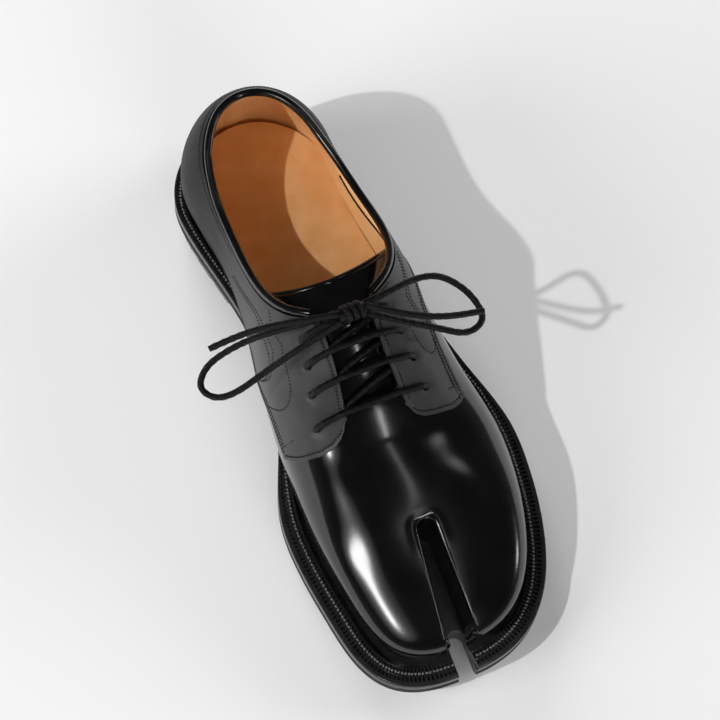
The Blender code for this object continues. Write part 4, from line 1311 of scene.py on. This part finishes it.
def crossingRoute(row):  # from the medial facing's edge up to the lateral one, low over the tongue
    ends = []
    for at, side in ((row, medial), (row + 1, lateral)):
        s = eyeletTable["station"][at] + side * bars["crossShift"]
        x = crestX(s) + side * (halfGap(s) + bars["crossReach"])
        ends.append((s, x))
    path = np.linspace(*np.array(ends), 9)
    z = archHeight(path[:, 0], planShare(path[:, 0], path[:, 1])) - bars["crossDrop"]
    return np.column_stack([path, z])


def buildBars():
    bm = bmesh.new()
    for s, reach in zip(eyeletTable["station"], eyeletTable["reach"]):
        addTube(bm, smoothRoute(barRoute(s, reach), lace["pitch"])[0], lace["radius"])
    for row in range(len(eyeletTable["station"]) - 1):
        addTube(bm, smoothRoute(crossingRoute(row), lace["pitch"])[0], lace["radius"])
    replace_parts(cordMesh(bm, "laceBars"), "lace_bars")


buildBars()
print("lace bars made")

# floor and light

studio = {"floor": "#e4e4e4", "floorHalf": 6.0, "horizon": 0.14, "zenith": 0.03, "middle": (0, -0.02, 0.04)}
lights = table(
    "fromX fromY fromZ distance width length watts mirrored",
    (-0.674, -0.064, 0.736, 4.0, 0.09, 0.09, 70.0, 0),
    (1, 0, 0.36, 2.5, 1.7, 1.7, 37.0, 0), (-1, 0, 0.36, 2.5, 1.7, 1.7, 48.0, 0),
    (0, 1, 0.36, 2.5, 1.7, 1.7, 45.0, 0), (0, -1, 0.36, 2.5, 1.7, 1.7, 30.0, 0),
    (-0.59, -0.28, 0.76, 3.0, 0.32, 0.32, 3.6, 1), (-0.59, -0.28, 0.76, 3.02, 0.52, 0.52, 4.2, 1),
    (-0.59, -0.28, 0.76, 3.04, 0.84, 0.84, 3.2, 1), (-0.59, -0.28, 0.76, 3.06, 1.4, 1.4, 3.0, 1),
    (-0.59, -0.28, 0.76, 3.08, 2.1, 2.1, 4.5, 1),
    (0.21, -0.66, 0.72, 1.2, 0.055, 0.52, 0.8, 1), (0.19, -0.20, 0.96, 1.2, 0.06, 0.45, 0.16, 1),
    (0.58, 0.0, 0.81, 2.0, 0.2, 0.2, 0.1, 1), (0.58, 0.0, 0.81, 2.02, 0.4, 0.4, 0.3, 1),
    (0.93, -0.30, 0.20, 2.0, 0.20, 0.20, 0.9, 1),
)
lightNames = (
    "sun", "wallRight", "wallLeft", "wallBack", "wallFront", "window", "windowInner", "windowEdge",
    "windowOuter", "windowHaze", "stripFront", "stripTop", "sideGlow", "sideHaze", "rimGlow",
)


def buildStudio():
    bm = bmesh.new()
    bmesh.ops.create_grid(bm, x_segments=1, y_segments=1, size=studio["floorHalf"])
    mesh = takeMesh(bm, "floor")
    paper = newMaterial(
        "mattePaper", (studio["floor"], studio["floor"]), (0.85, 0.95), (0.5, 0.0), 40,
        {"Specular IOR Level": 0.1},
    )
    mesh.materials.append(paper)
    addObject("floor", mesh)
    for name, *way, distance, width, length, watts, mirrored in zip(lightNames, *lights.values()):
        light = bpy.data.lights.new(name, "AREA")
        light.shape = "RECTANGLE" if width != length else "DISK"
        light.size, light.size_y, light.energy = width, length, watts
        lamp = addObject(name, light)
        # mirrored lights only make highlights, the others the light and shadow
        lamp.visible_diffuse, lamp.visible_glossy = not mirrored, bool(mirrored)
        way = Vector(way).normalized()
        up = way.cross(Vector((1, 0, 0))).normalized()
        basis = Matrix((up.cross(way), up, way)).transposed().to_4x4()
        basis.translation = Vector(studio["middle"]) + way * distance
        lamp.matrix_world = basis
    world = bpy.data.worlds.new("studioWorld")
    bpy.context.scene.world = world
    world.use_nodes = True
    tree = world.node_tree
    where = addNode(tree, "ShaderNodeTexCoord")
    parts = addNode(tree, "ShaderNodeSeparateXYZ", links={"Vector": where.outputs["Generated"]})
    ramp = addNode(tree, "ShaderNodeValToRGB", links={"Fac": parts.outputs["Z"]})
    for element, position, name in zip(ramp.color_ramp.elements, (0.0, 0.4), ("horizon", "zenith")):
        element.position, element.color = position, (studio[name],) * 3 + (1,)
    tree.links.new(ramp.outputs["Color"], tree.nodes["Background"].inputs["Color"])
    bpy.context.scene.view_settings.view_transform = "Standard"


buildStudio()
print("studio lit")
